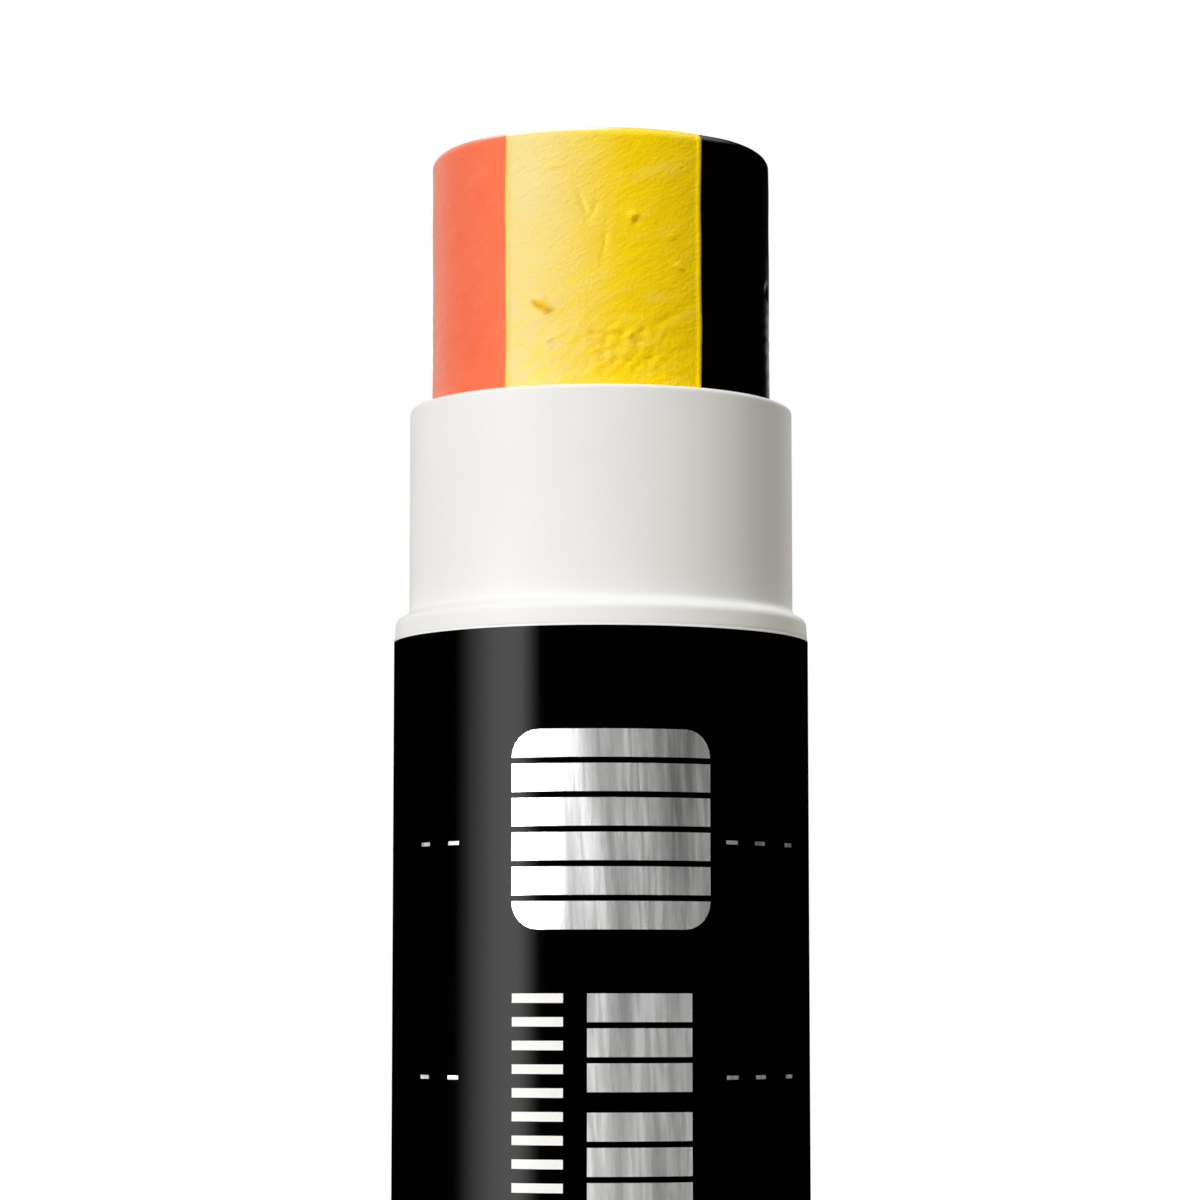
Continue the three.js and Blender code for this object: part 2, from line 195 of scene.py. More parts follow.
def revolved(name: str, outline: Outline, azimuths: np.ndarray) -> Mesh:
    """Turns an outline about the axis.

    Args:
        name: Name of the mesh.
        outline: Radius and height of each point in millimetres, with the outer side climbing. A
            radius may be an array, with one value for each azimuth. An outline that starts on
            the axis ends there too.
        azimuths: The azimuths of the mesh's columns.

    Returns:
        The closed mesh.
    """
    open_middle = np.min(outline[0][0]) > 0
    points = outline if open_middle else outline[1:-1]
    rings = np.stack([around(radius, height, azimuths) for radius, height in points])
    return loft(name, rings, Ends.LOOP if open_middle else Ends.POLES)


def placed(name: str, data: bpy.types.ID) -> Thing:
    """Puts an object into the scene.

    Args:
        name: Its name.
        data: Its mesh, lamp or camera.

    Returns:
        The object.
    """
    item = bpy.data.objects.new(name, data)
    bpy.context.scene.collection.objects.link(item)
    return item


def add_piece(
    mesh: Mesh,
    material: Material,
    body: Body,
    stands_for: str | None = None,
    sharp_from: float = 35.0,
) -> Thing:
    """Puts a finished mesh into the scene as a piece of the marker.

    Args:
        mesh: The mesh, whose name the piece takes.
        material: Its finish.
        body: The body that it rides on.
        stands_for: The node that it replaces, if it replaces one.
        sharp_from: Angle in degrees from which an edge is shaded sharp.

    Returns:
        The piece.
    """
    mesh.materials.append(material)
    mesh.shade_smooth()
    mesh.set_sharp_from_angle(angle=math.radians(sharp_from))
    piece = placed(mesh.name, mesh)
    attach(piece, body.value)
    if stands_for:
        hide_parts(stands_for)
    LOG.info("%s: %d faces on %s", piece.name, len(mesh.polygons), body.value)
    return piece


def dress_solid(node: str, material: Material) -> None:
    """Gives a solid that stays in view its finish.

    Args:
        node: Name of the solid's node.
        material: The finish.
    """
    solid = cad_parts[node]
    solid.data.materials.clear()
    solid.data.materials.append(material)
    LOG.info("%s: solid kept", node)


def carved(mesh: Mesh, cutters: list[Mesh]) -> Mesh:
    """Cuts closed meshes out of another.

    Args:
        mesh: The mesh to cut into.
        cutters: The meshes to take away.

    Returns:
        The cut mesh, under the name of the first.
    """
    block = placed(mesh.name + "_uncut", mesh)
    tools = [placed(cutter.name, cutter) for cutter in cutters]
    for tool in tools:
        cut = block.modifiers.new(tool.name, "BOOLEAN")
        cut.operation = "DIFFERENCE"
        cut.solver = "EXACT"
        cut.object = tool
    depsgraph = bpy.context.evaluated_depsgraph_get()
    result = bpy.data.meshes.new_from_object(block.evaluated_get(depsgraph))
    name = mesh.name
    for item in (block, *tools):
        bpy.data.objects.remove(item)
    mesh.name = name + "_uncut"
    result.name = name
    return result


@dataclass(frozen=True)
class Solids:
    """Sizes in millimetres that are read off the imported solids."""

    barrel_foot: float
    rim: float
    label_foot: float
    label_top: float
    body_radius: float
    stick_top: float
    stick_radius: float
    paint_foot: float
    red_seam: float
    black_seam: float

    @classmethod
    def measured(cls) -> "Solids":
        """Reads the sizes off the boxes of the nodes.

        Returns:
            The sizes.
        """
        barrel_low, barrel_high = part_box("barrel")
        label_low, label_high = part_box("label_film")
        red_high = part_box("paint_red")[1]
        yellow_low, yellow_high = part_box("paint_yellow")
        return cls(
            barrel_foot=barrel_low.z / MM,
            rim=barrel_high.z / MM,
            label_foot=label_low.z / MM,
            label_top=label_high.z / MM,
            body_radius=label_high.x / MM,
            stick_top=yellow_high.z / MM,
            stick_radius=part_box("paint_black")[1].x / MM,
            paint_foot=yellow_low.z / MM,
            red_seam=red_high.x / MM,
            black_seam=yellow_high.x / MM,
        )


class Nodes:
    """A node tree, written as calls that give sockets."""

    def __init__(self, tree: bpy.types.NodeTree) -> None:
        """Takes the tree to add to."""
        self.tree = tree

    def node(self, kind: str, inputs: dict | None = None, **settings) -> bpy.types.Node:
        """Adds a node.

        Args:
            kind: Blender's name of the node.
            inputs: Values or sockets for its inputs, by name or number.
            **settings: Its own properties.

        Returns:
            The node.
        """
        made = self.tree.nodes.new(kind)
        for name, value in settings.items():
            setattr(made, name, value)
        for key, value in (inputs or {}).items():
            if isinstance(value, Socket):
                self.tree.links.new(value, made.inputs[key])
            else:
                made.inputs[key].default_value = value
        return made

    def fixed(self) -> Socket:
        """Coordinates fixed to the piece, in metres."""
        return self.node("ShaderNodeTexCoord").outputs["Object"]

    def axes(self, place: Socket) -> Sockets:
        """The x, y and z of coordinates."""
        return self.node("ShaderNodeSeparateXYZ", {0: place}).outputs

    def length(self, vector: Socket) -> Socket:
        """The length of a vector."""
        return self.node("ShaderNodeVectorMath", {0: vector}, operation="LENGTH").outputs["Value"]

    def place(self, stretch: Triple = (1, 1, 1), tilt: float = 0.0) -> Socket:
        """Coordinates fixed to the piece, in millimetres.

        Args:
            stretch: Length of the pattern along each axis, once it is tilted.
            tilt: Degrees that the pattern's level lines rise by towards +X.

        Returns:
            The coordinates' socket.
        """
        turn = (0, math.radians(tilt), 0)
        inputs = {"Vector": self.fixed(), "Rotation": turn, "Scale": (1 / MM,) * 3}
        turned = self.node("ShaderNodeMapping", inputs)
        shares = tuple(1 / length for length in stretch)
        return self.node("ShaderNodeMapping", {"Vector": turned.outputs[0], "Scale": shares}).outputs[0]

    def noise(self, place: Socket, grain: float, detail: float = 3.0, roughness: float = 0.55) -> Socket:
        """Smooth noise round a half, whose features are as large as the grain in its coordinates."""
        inputs = {"Vector": place, "Scale": 1 / grain, "Detail": detail, "Roughness": roughness}
        return self.node("ShaderNodeTexNoise", inputs).outputs[0]

    def span(self, value: Socket, start: float, end: float, low: float = 0.0, high: float = 1.0) -> Socket:
        """Maps a value from one span to another, softly and without going past its ends."""
        inputs = {0: value, 1: start, 2: end, 3: low, 4: high}
        return self.node("ShaderNodeMapRange", inputs, interpolation_type="SMOOTHSTEP").outputs[0]

    def reckon(self, operation: str, *values: Socket | float) -> Socket:
        """Works out values with one of Blender's operations, taken from the left.

        Args:
            operation: Blender's name of the operation.
            *values: Sockets or numbers.

        Returns:
            The result's socket.
        """
        result = values[0]
        for value in values[1:]:
            result = self.node("ShaderNodeMath", {0: result, 1: value}, operation=operation).outputs[0]
        return result

    def times(self, *values: Socket | float) -> Socket:
        """The product of values."""
        return self.reckon("MULTIPLY", *values)

    def plus(self, *values: Socket | float) -> Socket:
        """The sum of values."""
        return self.reckon("ADD", *values)

    def blend(self, share: Socket, first: Colour | Socket, second: Colour | Socket) -> Socket:
        """A colour between two others, by the share of the second."""
        first, second = ((*end, 1.0) if isinstance(end, tuple) else end for end in (first, second))
        return self.node("ShaderNodeMix", {0: share, 6: first, 7: second}, data_type="RGBA").outputs[2]

    def glow(self, strength: Socket | float) -> Socket:
        """White light of a strength."""
        inputs = {"Color": (1, 1, 1, 1), "Strength": strength}
        return self.node("ShaderNodeEmission", inputs).outputs[0]

    def mix(self, share: Socket, first: Socket, second: Socket) -> Socket:
        """A surface between two others."""
        return self.node("ShaderNodeMixShader", {0: share, 1: first, 2: second}).outputs[0]


class Recipe(Nodes):
    """The node tree of one finish."""

    def __init__(self, name: str) -> None:
        """Starts a material with a plain shader.

        Args:
            name: Name of the material.
        """
        self.material = bpy.data.materials.new(name)
        self.material.use_nodes = True
        super().__init__(self.material.node_tree)
        self.shader = self.tree.nodes["Principled BSDF"]

    def set(self, **values) -> None:
        """Sets plain values of the shader, with spaces in names written as underscores."""
        for name, value in values.items():
            self.shader.inputs[name.replace("_", " ")].default_value = value

    def feed(self, name: str, socket: Socket) -> None:
        """Links a socket to one of the shader's inputs."""
        self.tree.links.new(socket, self.shader.inputs[name])

    def roughen(
        self, followed: Socket, middle: float, below: float, above: float, reach: Span = NOISE_REACH
    ) -> None:
        """Lets the roughness follow a noise over its reach, from below a middle to above it."""
        self.feed("Roughness", self.span(followed, *reach, middle - below, middle + above))

    def show(self, surface: Socket) -> None:
        """Puts another surface in the place of the plain shader."""
        self.tree.links.new(surface, self.tree.nodes["Material Output"].inputs[0])

    def bump(self, layers: list[tuple[Socket, float]]) -> None:
        """Gives the shader fine relief.

        Args:
            layers: A height from 0 to 1 and its real depth in millimetres, for each layer.
        """
        normal = None
        for height, depth in layers:
            inputs = {"Height": height, "Strength": 1.0, "Distance": depth * MM}
            if normal:
                inputs["Normal"] = normal
            normal = self.node("ShaderNodeBump", inputs).outputs[0]
        self.feed("Normal", normal)


@dataclass(frozen=True)
class Moulding:
    """A plain moulded plastic or rubber, with a faint mottle and a fine skin."""

    name: str
    colour: Colour
    mottle: Colour
    roughness: float
    specular: float
    skin_depth: float = 0.002
    swell_depth: float = 0.008

    @cache
    def made(self) -> Material:
        """Builds the material, once for all the pieces that have it.

        Returns:
            The material.
        """
        recipe = Recipe(self.name)
        clouds = recipe.noise(recipe.place(), grain=6.0, detail=4.0)
        mottled = recipe.blend(recipe.span(clouds, *NOISE_REACH), self.colour, self.mottle)
        recipe.feed("Base Color", mottled)
        wipe = recipe.noise(recipe.place(stretch=(1, 1, 4)), grain=1.6, detail=5.0)
        recipe.roughen(wipe, self.roughness, below=0.04, above=0.05)
        recipe.set(Specular_IOR_Level=self.specular)
        skin = recipe.noise(recipe.place(), grain=0.12, detail=2.0)
        swell = recipe.noise(recipe.place(), grain=3.0, detail=1.0)
        recipe.bump([(swell, self.swell_depth), (skin, self.skin_depth)])
        return recipe.material


@dataclass(frozen=True)
class Film:
    """Black printed film, smooth over its glue, with a white highlight line painted along its top."""

    name: str
    colour: Colour
    highlight_line_colour: Colour
    roughness: float
    specular: float
    # margin: height of the white highlight line painted along the film's top edge
    margin: float = 0.06
    highlight_line_blur: float = 0.01
    dust_reach: Span = (0.62, 0.75)
    dust_gain: float = 3.0
    glue_depth: float = 0.003

    def made(self, label_top: float) -> Material:
        """Builds the material.

        Args:
            label_top: Height of the film's top edge in millimetres.

        Returns:
            The material.
        """
        recipe = Recipe(self.name)
        dust = recipe.span(recipe.noise(recipe.place(), grain=0.5, detail=6.0), *self.dust_reach)
        pale = tuple(self.dust_gain * channel for channel in self.colour)
        printed = recipe.blend(dust, self.colour, pale)
        height = recipe.axes(recipe.place())[2]
        # paints the white highlight line above the print, along the top edge
        edge = label_top - self.margin
        above = recipe.span(height, edge - self.highlight_line_blur, edge + self.highlight_line_blur)
        recipe.feed("Base Color", recipe.blend(above, printed, self.highlight_line_colour))
        rub = recipe.noise(recipe.place(stretch=(1, 1, 9)), grain=0.7, detail=4.0)
        recipe.roughen(rub, self.roughness, below=0.015, above=0.015)
        recipe.set(Specular_IOR_Level=self.specular)
        glue = recipe.noise(recipe.place(stretch=(1, 1, 3)), grain=5.0, detail=1.0)
        recipe.bump([(glue, self.glue_depth)])
        return recipe.material


@dataclass(frozen=True)
class Foil:
    """Silver foil print with streaks along the marker."""

    name: str
    colour: Colour
    streak: Colour
    metal: float
    roughness: float
    broad_share: float = 0.65
    fine_share: float = 0.35
    streak_reach: Span = (0.46, 0.62)
    fine_reach: Span = (0.35, 0.65)
    fine_depth: float = 0.0015

    def made(self) -> Material:
        """Builds the material.

        Returns:
            The material.
        """
        recipe = Recipe(self.name)
        brushed = recipe.place(stretch=(1, 1, 14), tilt=3.0)
        broad = recipe.noise(brushed, grain=1.1, detail=2.0)
        fine = recipe.noise(brushed, grain=0.22, detail=3.0)
        broad_part, fine_part = recipe.times(broad, self.broad_share), recipe.times(fine, self.fine_share)
        share = recipe.span(recipe.plus(broad_part, fine_part), *self.streak_reach)
        recipe.feed("Base Color", recipe.blend(share, self.colour, self.streak))
        recipe.roughen(fine, self.roughness, below=0.05, above=0.08, reach=self.fine_reach)
        recipe.set(Metallic=self.metal)
        recipe.bump([(fine, self.fine_depth)])
        return recipe.material


@dataclass(frozen=True)
class Ink:
    """White printed ink."""

    name: str
    colour: Colour
    roughness: float
    specular: float = 0.2
    thin_reach: Span = (0.55, 0.75)
    thin_gain: float = 0.93
    cover_depth: float = 0.001

    def made(self) -> Material:
        """Builds the material.

        Returns:
            The material.
        """
        recipe = Recipe(self.name)
        cover = recipe.noise(recipe.place(), grain=0.15, detail=4.0)
        thin = tuple(self.thin_gain * channel for channel in self.colour)
        recipe.feed("Base Color", recipe.blend(recipe.span(cover, *self.thin_reach), self.colour, thin))
        recipe.set(Roughness=self.roughness, Specular_IOR_Level=self.specular)
        recipe.bump([(cover, self.cover_depth)])
        return recipe.material


@dataclass(frozen=True)
class Paint:
    """Cast solid paint: waxy, with smears that rise towards +X where it was rubbed.

    The painted sheen is a pale painted highlight that begins at the red seam and fades out
    towards +X, and low on the stick it is broken by streaks that rise towards +X. The painted
    edge highlight is a white line painted along the top, on the red side and half of the
    middle. The painted shade is darker colour painted below lumps and in pits, whose share
    comes from a mesh attribute that has the field's name. A reach is the span of a noise that
    shows, and the other spans are of x or of height in millimetres.
    """

    name: str
    colour: Colour
    pale: Colour
    deep: Colour
    # painted shade: darker colour painted below lumps and in pits, from the mesh attribute
    painted_shade: Colour
    roughness: float
    specular: float
    sheen: float
    relief: float
    sheen_roughness: float = 0.3
    smear_tilt: float = 28.0
    smear_reach: Span = (0.5, 0.72)
    pale_share: float = 0.3
    cloud_reach: Span = (0.45, 0.7)
    deep_share: float = 0.6
    thin_relief: float = 0.7
    grain_relief: float = 0.9
    # painted sheen: a pale painted highlight on the side that faces the key lamp, fading out towards +X
    painted_sheen: Colour = grey(0.5)
    painted_sheen_share: float = 0.0
    painted_sheen_span: Span = (-4.6, 1.6)
    painted_sheen_gains: Pair = (1.15, 0.8)
    # where the painted sheen begins at the red seam, and the streaks low on the stick that break it
    seam_span: Span = (-4.42, -4.3)
    seam_share: float = 0.55
    streak_reach: Span = (0.48, 0.6)
    streak_share: float = 0.0
    streak_heights: Span = (112.5, 117.5)
    streak_span: Span = (-4.6, -1.0)
    streak_least: float = 0.3
    # painted edge highlight: a white line painted along the rounded top edge, where light catches it
    edge_highlight_colour: Colour = (0.95, 0.94, 0.88)
    edge_highlight_share: float = 0.0
    edge_highlight_depth: float = 0.26
    edge_highlight_inset: float = 0.6
    edge_highlight_blur: float = 0.1
    edge_highlight_left: Span = (-6.4, -5.0)
    edge_highlight_right: Span = (-1.0, 1.4)

    def painted_sheen_amount(self, recipe: Recipe, parts: Sockets, clouds: Socket) -> Socket:
        """How much painted sheen there is: a pale painted highlight.

        Args:
            recipe: The material's recipe.
            parts: The x, y and z in millimetres.
            clouds: The noise that the painted sheen follows.

        Returns:
            The painted sheen's share.
        """
        # the painted highlight is strongest at the red seam's side and fades out towards +X
        begun = recipe.span(parts[0], *self.seam_span, self.seam_share, 1.0)
        fade = recipe.times(recipe.span(parts[0], *self.painted_sheen_span, 1.0, 0.0), self.painted_sheen_share, begun)
        streak = recipe.noise(recipe.place(stretch=(4.5, 2, 1), tilt=self.smear_tilt), grain=0.3)
        sheen_gaps = recipe.span(streak, *self.streak_reach, 0.0, -self.streak_share)
        low = recipe.span(parts[2], *self.streak_heights, 1.0, 0.0)
        low = recipe.times(low, recipe.span(parts[0], *self.streak_span, self.streak_least, 1.0))
        left = recipe.plus(recipe.times(low, sheen_gaps), 1.0)
        return recipe.times(fade, left, recipe.span(clouds, *NOISE_REACH, *self.painted_sheen_gains))

    def painted_edge_highlight(self, recipe: Recipe, parts: Sockets, solids: Solids) -> Socket:
        """How much of the painted edge highlight there is: white painted along the rounded top edge.

        Args:
            recipe: The material's recipe.
            parts: The x, y and z in millimetres.
            solids: Sizes of the stick.

        Returns:
            The painted edge highlight's share.
        """
        foot = solids.stick_top - self.edge_highlight_depth
        brink = recipe.span(parts[2], foot, foot + self.edge_highlight_depth / 2)
        left = recipe.span(parts[0], *self.edge_highlight_left)
        right = recipe.span(parts[0], *self.edge_highlight_right, 1.0, 0.0)
        level = recipe.node("ShaderNodeCombineXYZ", {0: parts[0], 1: parts[1]}).outputs[0]
        brow = solids.stick_radius - self.edge_highlight_inset
        rim = recipe.span(recipe.length(level), brow - self.edge_highlight_blur, brow + self.edge_highlight_blur)
        return recipe.times(brink, recipe.times(left, right), rim, self.edge_highlight_share)

    def made(self, solids: Solids) -> Material:
        """Builds the material.

        Args:
            solids: Sizes of the stick.

        Returns:
            The material.
        """
        recipe = Recipe(self.name)
        place = recipe.place()
        parts = recipe.axes(place)
        rubbed = recipe.place(stretch=(4, 2, 1), tilt=self.smear_tilt)
        wide = recipe.noise(rubbed, grain=0.6)
        thin = recipe.noise(rubbed, grain=0.17, detail=2.0)
        clouds = recipe.noise(place, grain=2.2, detail=5.0, roughness=0.65)
        deep_part = recipe.times(recipe.span(clouds, *self.cloud_reach), self.deep_share)
        pale_part = recipe.times(recipe.span(wide, *self.smear_reach), self.pale_share)
        smeared = recipe.blend(pale_part, recipe.blend(deep_part, self.colour, self.deep), self.pale)
        # lays the pale painted sheen, a painted highlight, over the smeared colour
        with_painted_sheen = recipe.blend(self.painted_sheen_amount(recipe, parts, clouds), smeared, self.painted_sheen)
        # painted shade below lumps and in pits, as the mesh marks it, laid over the colour
        painted_shade_mask = recipe.node("ShaderNodeAttribute", attribute_name="painted_shade").outputs["Fac"]
        with_painted_shade = recipe.blend(painted_shade_mask, with_painted_sheen, self.painted_shade)
        # paints the white highlight along the top edge over the colour
        recipe.feed("Base Color", recipe.blend(self.painted_edge_highlight(recipe, parts, solids), with_painted_shade, self.edge_highlight_colour))
        recipe.roughen(thin, self.roughness, below=0.06, above=0.08)
        recipe.set(Specular_IOR_Level=self.specular, Sheen_Weight=self.sheen)
        recipe.set(Sheen_Roughness=self.sheen_roughness)
        grain = recipe.noise(place, grain=0.16)
        shares = ((wide, 1.0), (thin, self.thin_relief), (grain, self.grain_relief))
        recipe.bump([(height, self.relief * share) for height, share in shares])
        return recipe.material


WHITE_PLASTIC = Moulding(
    "white_plastic", colour=(0.87, 0.87, 0.868), mottle=(0.85, 0.85, 0.847), roughness=0.38, specular=0.03
)
GREY_PLASTIC = Moulding(
    "grey_plastic", colour=(0.58, 0.57, 0.54), mottle=(0.53, 0.52, 0.49), roughness=0.45, specular=0.3
)
NATURAL_PLASTIC = Moulding(
    "natural_plastic", colour=(0.74, 0.71, 0.63), mottle=(0.69, 0.66, 0.58), roughness=0.42, specular=0.35
)
BLACK_RUBBER = Moulding("black_rubber", colour=grey(0.012), mottle=grey(0.018), roughness=0.7, specular=0.3)
# the film's second colour is the white of the highlight line painted along its top
BLACK_FILM = Film("black_film", colour=grey(0.0003), highlight_line_colour=grey(0.92), roughness=0.1, specular=0.07)
SILVER_FOIL = Foil("silver_foil", colour=grey(0.95), streak=grey(0.5), metal=0.88, roughness=0.41)
WHITE_INK = Ink("white_ink", colour=grey(0.92), roughness=0.45)
# the red paint gets half of the white painted edge highlight along its top
RED_PAINT = Paint(
    "red_paint", colour=(0.87, 0.15, 0.06), pale=(0.9, 0.23, 0.12), deep=(0.85, 0.125, 0.045),
    painted_shade=(0.8, 0.1, 0.03), roughness=0.55, specular=0.2, sheen=0.75, sheen_roughness=0.36, relief=0.022,
    edge_highlight_share=0.5,
)
# the yellow's painted sheen settings make a pale painted highlight towards the red seam
YELLOW_PAINT = Paint(
    "yellow_paint", colour=(1.0, 0.7, 0.0), pale=(1.0, 0.79, 0.14), deep=(0.98, 0.62, 0.0),
    painted_shade=(0.85, 0.46, 0.0), roughness=0.45, specular=0.16, sheen=0.03, pale_share=0.25, relief=0.044,
    painted_sheen=(0.66, 0.63, 0.52), painted_sheen_share=0.49, streak_share=0.7, edge_highlight_share=0.85,
)
BLACK_PAINT = Paint(
    "black_paint", colour=grey(0.0006), pale=grey(0.002), deep=grey(0.0002), painted_shade=(0.004, 0.003, 0.002),
    roughness=0.17, specular=0.3, sheen=0.06, sheen_roughness=0.12, relief=0.008,
)


@dataclass
class Barrel:
    """The white moulding: neck, shoulder bead and the panel under the film."""

    solids: Solids
    wall: float = 1.63
    neck_wall: float = 0.9
    neck_height: float = 9.95
    rim_rounding: float = 0.22
    shoulder_height: float = 0.6
    shoulder_slope: float = 27.0
    bead_inset: float = 0.03
    bead_chamfer: float = 0.05
    bead_rounding: float = 0.4
    bead_lean: float = 0.04
    bead_start: float = 8.0
    neck_fillet: float = 0.4
    panel_depth: float = 0.22
    panel_gap: float = 0.05
    panel_edge: float = 0.05
    band_rounding: float = 0.3
    band_start: float = -75.0
    groove_height: float = 19.6
    groove_half: float = 0.5
    groove_depth: float = 0.3
    keyway_width: float = 2.6
    keyway_depth: float = 0.7
    keyway_stop: float = 1.5
    keyway_over: float = 1.0
    columns: int = 192

    @property
    def bore(self) -> float:
        """Radius of the bore."""
        return self.solids.body_radius - self.wall

    def outline(self) -> Outline:
        """Works out the moulding's section.

        Returns:
            The section, from the bore's foot outwards and up.
        """
        size = self.solids
        bore = self.bore
        neck = bore + self.neck_wall
        bead = size.body_radius - self.bead_inset
        panel = size.body_radius - self.panel_depth
        panel_foot = size.label_foot - self.panel_gap
        panel_top = size.label_top + self.panel_gap
        bead_top = size.rim - self.neck_height - self.shoulder_height
        rim_middle = size.rim - self.rim_rounding
        slope = math.radians(self.shoulder_slope)
        tangent = 90 - self.shoulder_slope
        brow = bead - self.bead_lean
        crest = brow - self.bead_rounding * (1 - math.sin(slope))
        crest_height = bead_top + self.bead_rounding * math.cos(slope)
        fillet_foot = neck + self.neck_fillet * (1 - math.sin(slope))
        fillet_drop = (crest - fillet_foot) * math.tan(slope)
        fillet_middle = crest_height + fillet_drop + self.neck_fillet * math.cos(slope)
        band = size.body_radius - self.band_rounding
        band_middle = size.barrel_foot + self.band_rounding
        edge, chamfer = self.panel_edge, self.bead_chamfer
        groove, half = self.groove_height, self.groove_half
        return held([
            (bore, size.barrel_foot),
            (band, size.barrel_foot),
            *arc((band, band_middle), self.band_rounding, self.band_start, 0),
            *arc((size.body_radius - edge, panel_foot - edge), edge, 0, 90, steps=3),
            (panel, panel_foot),
            (panel, panel_top),
            *arc((bead - chamfer, panel_top + chamfer), chamfer, -90, 0, steps=4),
            *arc((brow - self.bead_rounding, bead_top), self.bead_rounding, self.bead_start, tangent),
            *arc((neck + self.neck_fillet, fillet_middle), self.neck_fillet, 180 + tangent, 180),
            *arc((neck - self.rim_rounding, rim_middle), self.rim_rounding, 0, 90, steps=7),
            *arc((bore + self.rim_rounding, rim_middle), self.rim_rounding, 90, 180, steps=7),
            (bore, groove + half + self.groove_depth),
            (bore + self.groove_depth, groove + half),
            (bore + self.groove_depth, groove - half),
            (bore, groove - half - self.groove_depth),
        ])

    def keyway(self, side: float) -> Mesh:
        """The bar that cuts one keyway.

        Args:
            side: 1 towards +X or -1 towards -X.

        Returns:
            The bar's mesh.
        """
        near, far = sorted((side * (self.bore - self.keyway_over), side * (self.bore + self.keyway_depth)))
        half = self.keyway_width / 2
        low = self.solids.barrel_foot - self.keyway_over
        high = self.solids.label_top - self.keyway_stop
        floor = [(near, -half), (far, -half), (far, half), (near, half)]
        rings = np.array([[(x, y, z) for x, y in floor] for z in (low, high)]) * MM
        return loft("keyway", rings, Ends.POLES)

    def build(self) -> None:
        """Builds the moulding and lets it stand for its solid."""
        shell = revolved("barrel_moulding", self.outline(), even_azimuths(self.columns))
        moulding = carved(shell, [self.keyway(1.0), self.keyway(-1.0)])
        material = WHITE_PLASTIC.made()
        add_piece(moulding, material, Body.BARREL, "barrel")
        dress_solid("bearing_insert", GREY_PLASTIC.made())


@dataclass(frozen=True)
class Mark:
    """One printed mark on the label: a patch between two azimuths and two heights.

    Its two lower and its two upper corners can be rounded.
    """

    left: float
    right: float
    low: float
    high: float
    rounded: tuple[bool, bool] = (False, False)
    corner: float = 0.0
    corner_steps: int = 6

    def rows(self, radius: float) -> list[Triple]:
        """Height, left and right azimuth of each row of the patch, upwards.

        Args:
            radius: Radius of the label, in millimetres.

        Returns:
            The rows, closer together where a corner is rounded.
        """
        low_round, high_round = self.rounded
        turns = [math.radians(turn) for turn in np.linspace(0, 90, self.corner_steps + 1)[1:]]
        drops = [self.corner * (1 - math.cos(turn)) for turn in turns]
        heights = {self.low, self.high}
        heights.update(self.low + drop for drop in drops if low_round)
        heights.update(self.high - drop for drop in drops if high_round)
        rows = []
        for height in sorted(height for height in heights if self.low <= height <= self.high):
            draw_in = 0.0
            for rounded, edge in ((low_round, height - self.low), (high_round, self.high - height)):
                if rounded and edge < self.corner:
                    inner = self.corner - edge
                    draw_in = max(draw_in, self.corner - math.sqrt(self.corner**2 - inner**2))
            turn = math.degrees(draw_in / radius)
            rows.append((height, self.left + turn, self.right - turn))
        return rows


def patch_sheets(mark: Mark, radius: float, lifts: Pair, pitch: float) -> np.ndarray:
    """The sheet of a printed mark that shows, and the one that is sunk in the film.

    Args:
        mark: The mark.
        radius: Radius of the label in millimetres.
        lifts: How far each sheet stands out of the film, in millimetres.
        pitch: Largest step between columns, in degrees.

    Returns:
        Points in metres by sheet, row, column and axis.
    """
    shares = np.linspace(0, 1, max(2, round((mark.right - mark.left) / pitch)) + 1)
    rows = mark.rows(radius)
    return np.array([
        [around(radius + lift, height, left + (right - left) * shares) for height, left, right in rows]
        for lift in lifts
    ])


def patch_faces(grid: np.ndarray) -> list[list[int]]:
    """Faces that close a printed mark.

    Args:
        grid: Numbers of its points by sheet, row and column.

    Returns:
        The faces of both sheets and of the narrow wall round them.
    """
    faces = []
    for sheet, step in zip(grid, (1, -1)):
        corners = [sheet[:-1, :-1], sheet[:-1, 1:], sheet[1:, 1:], sheet[1:, :-1]]
        faces += np.stack(corners[::step], axis=-1).reshape(-1, 4).tolist()
    front, back = (
        np.concatenate([sheet[0, :-1], sheet[:-1, -1], sheet[-1, :0:-1], sheet[:0:-1, 0]]) for sheet in grid
    )
    return faces + np.stack([back, np.roll(back, -1), np.roll(front, -1), front], axis=-1).tolist()


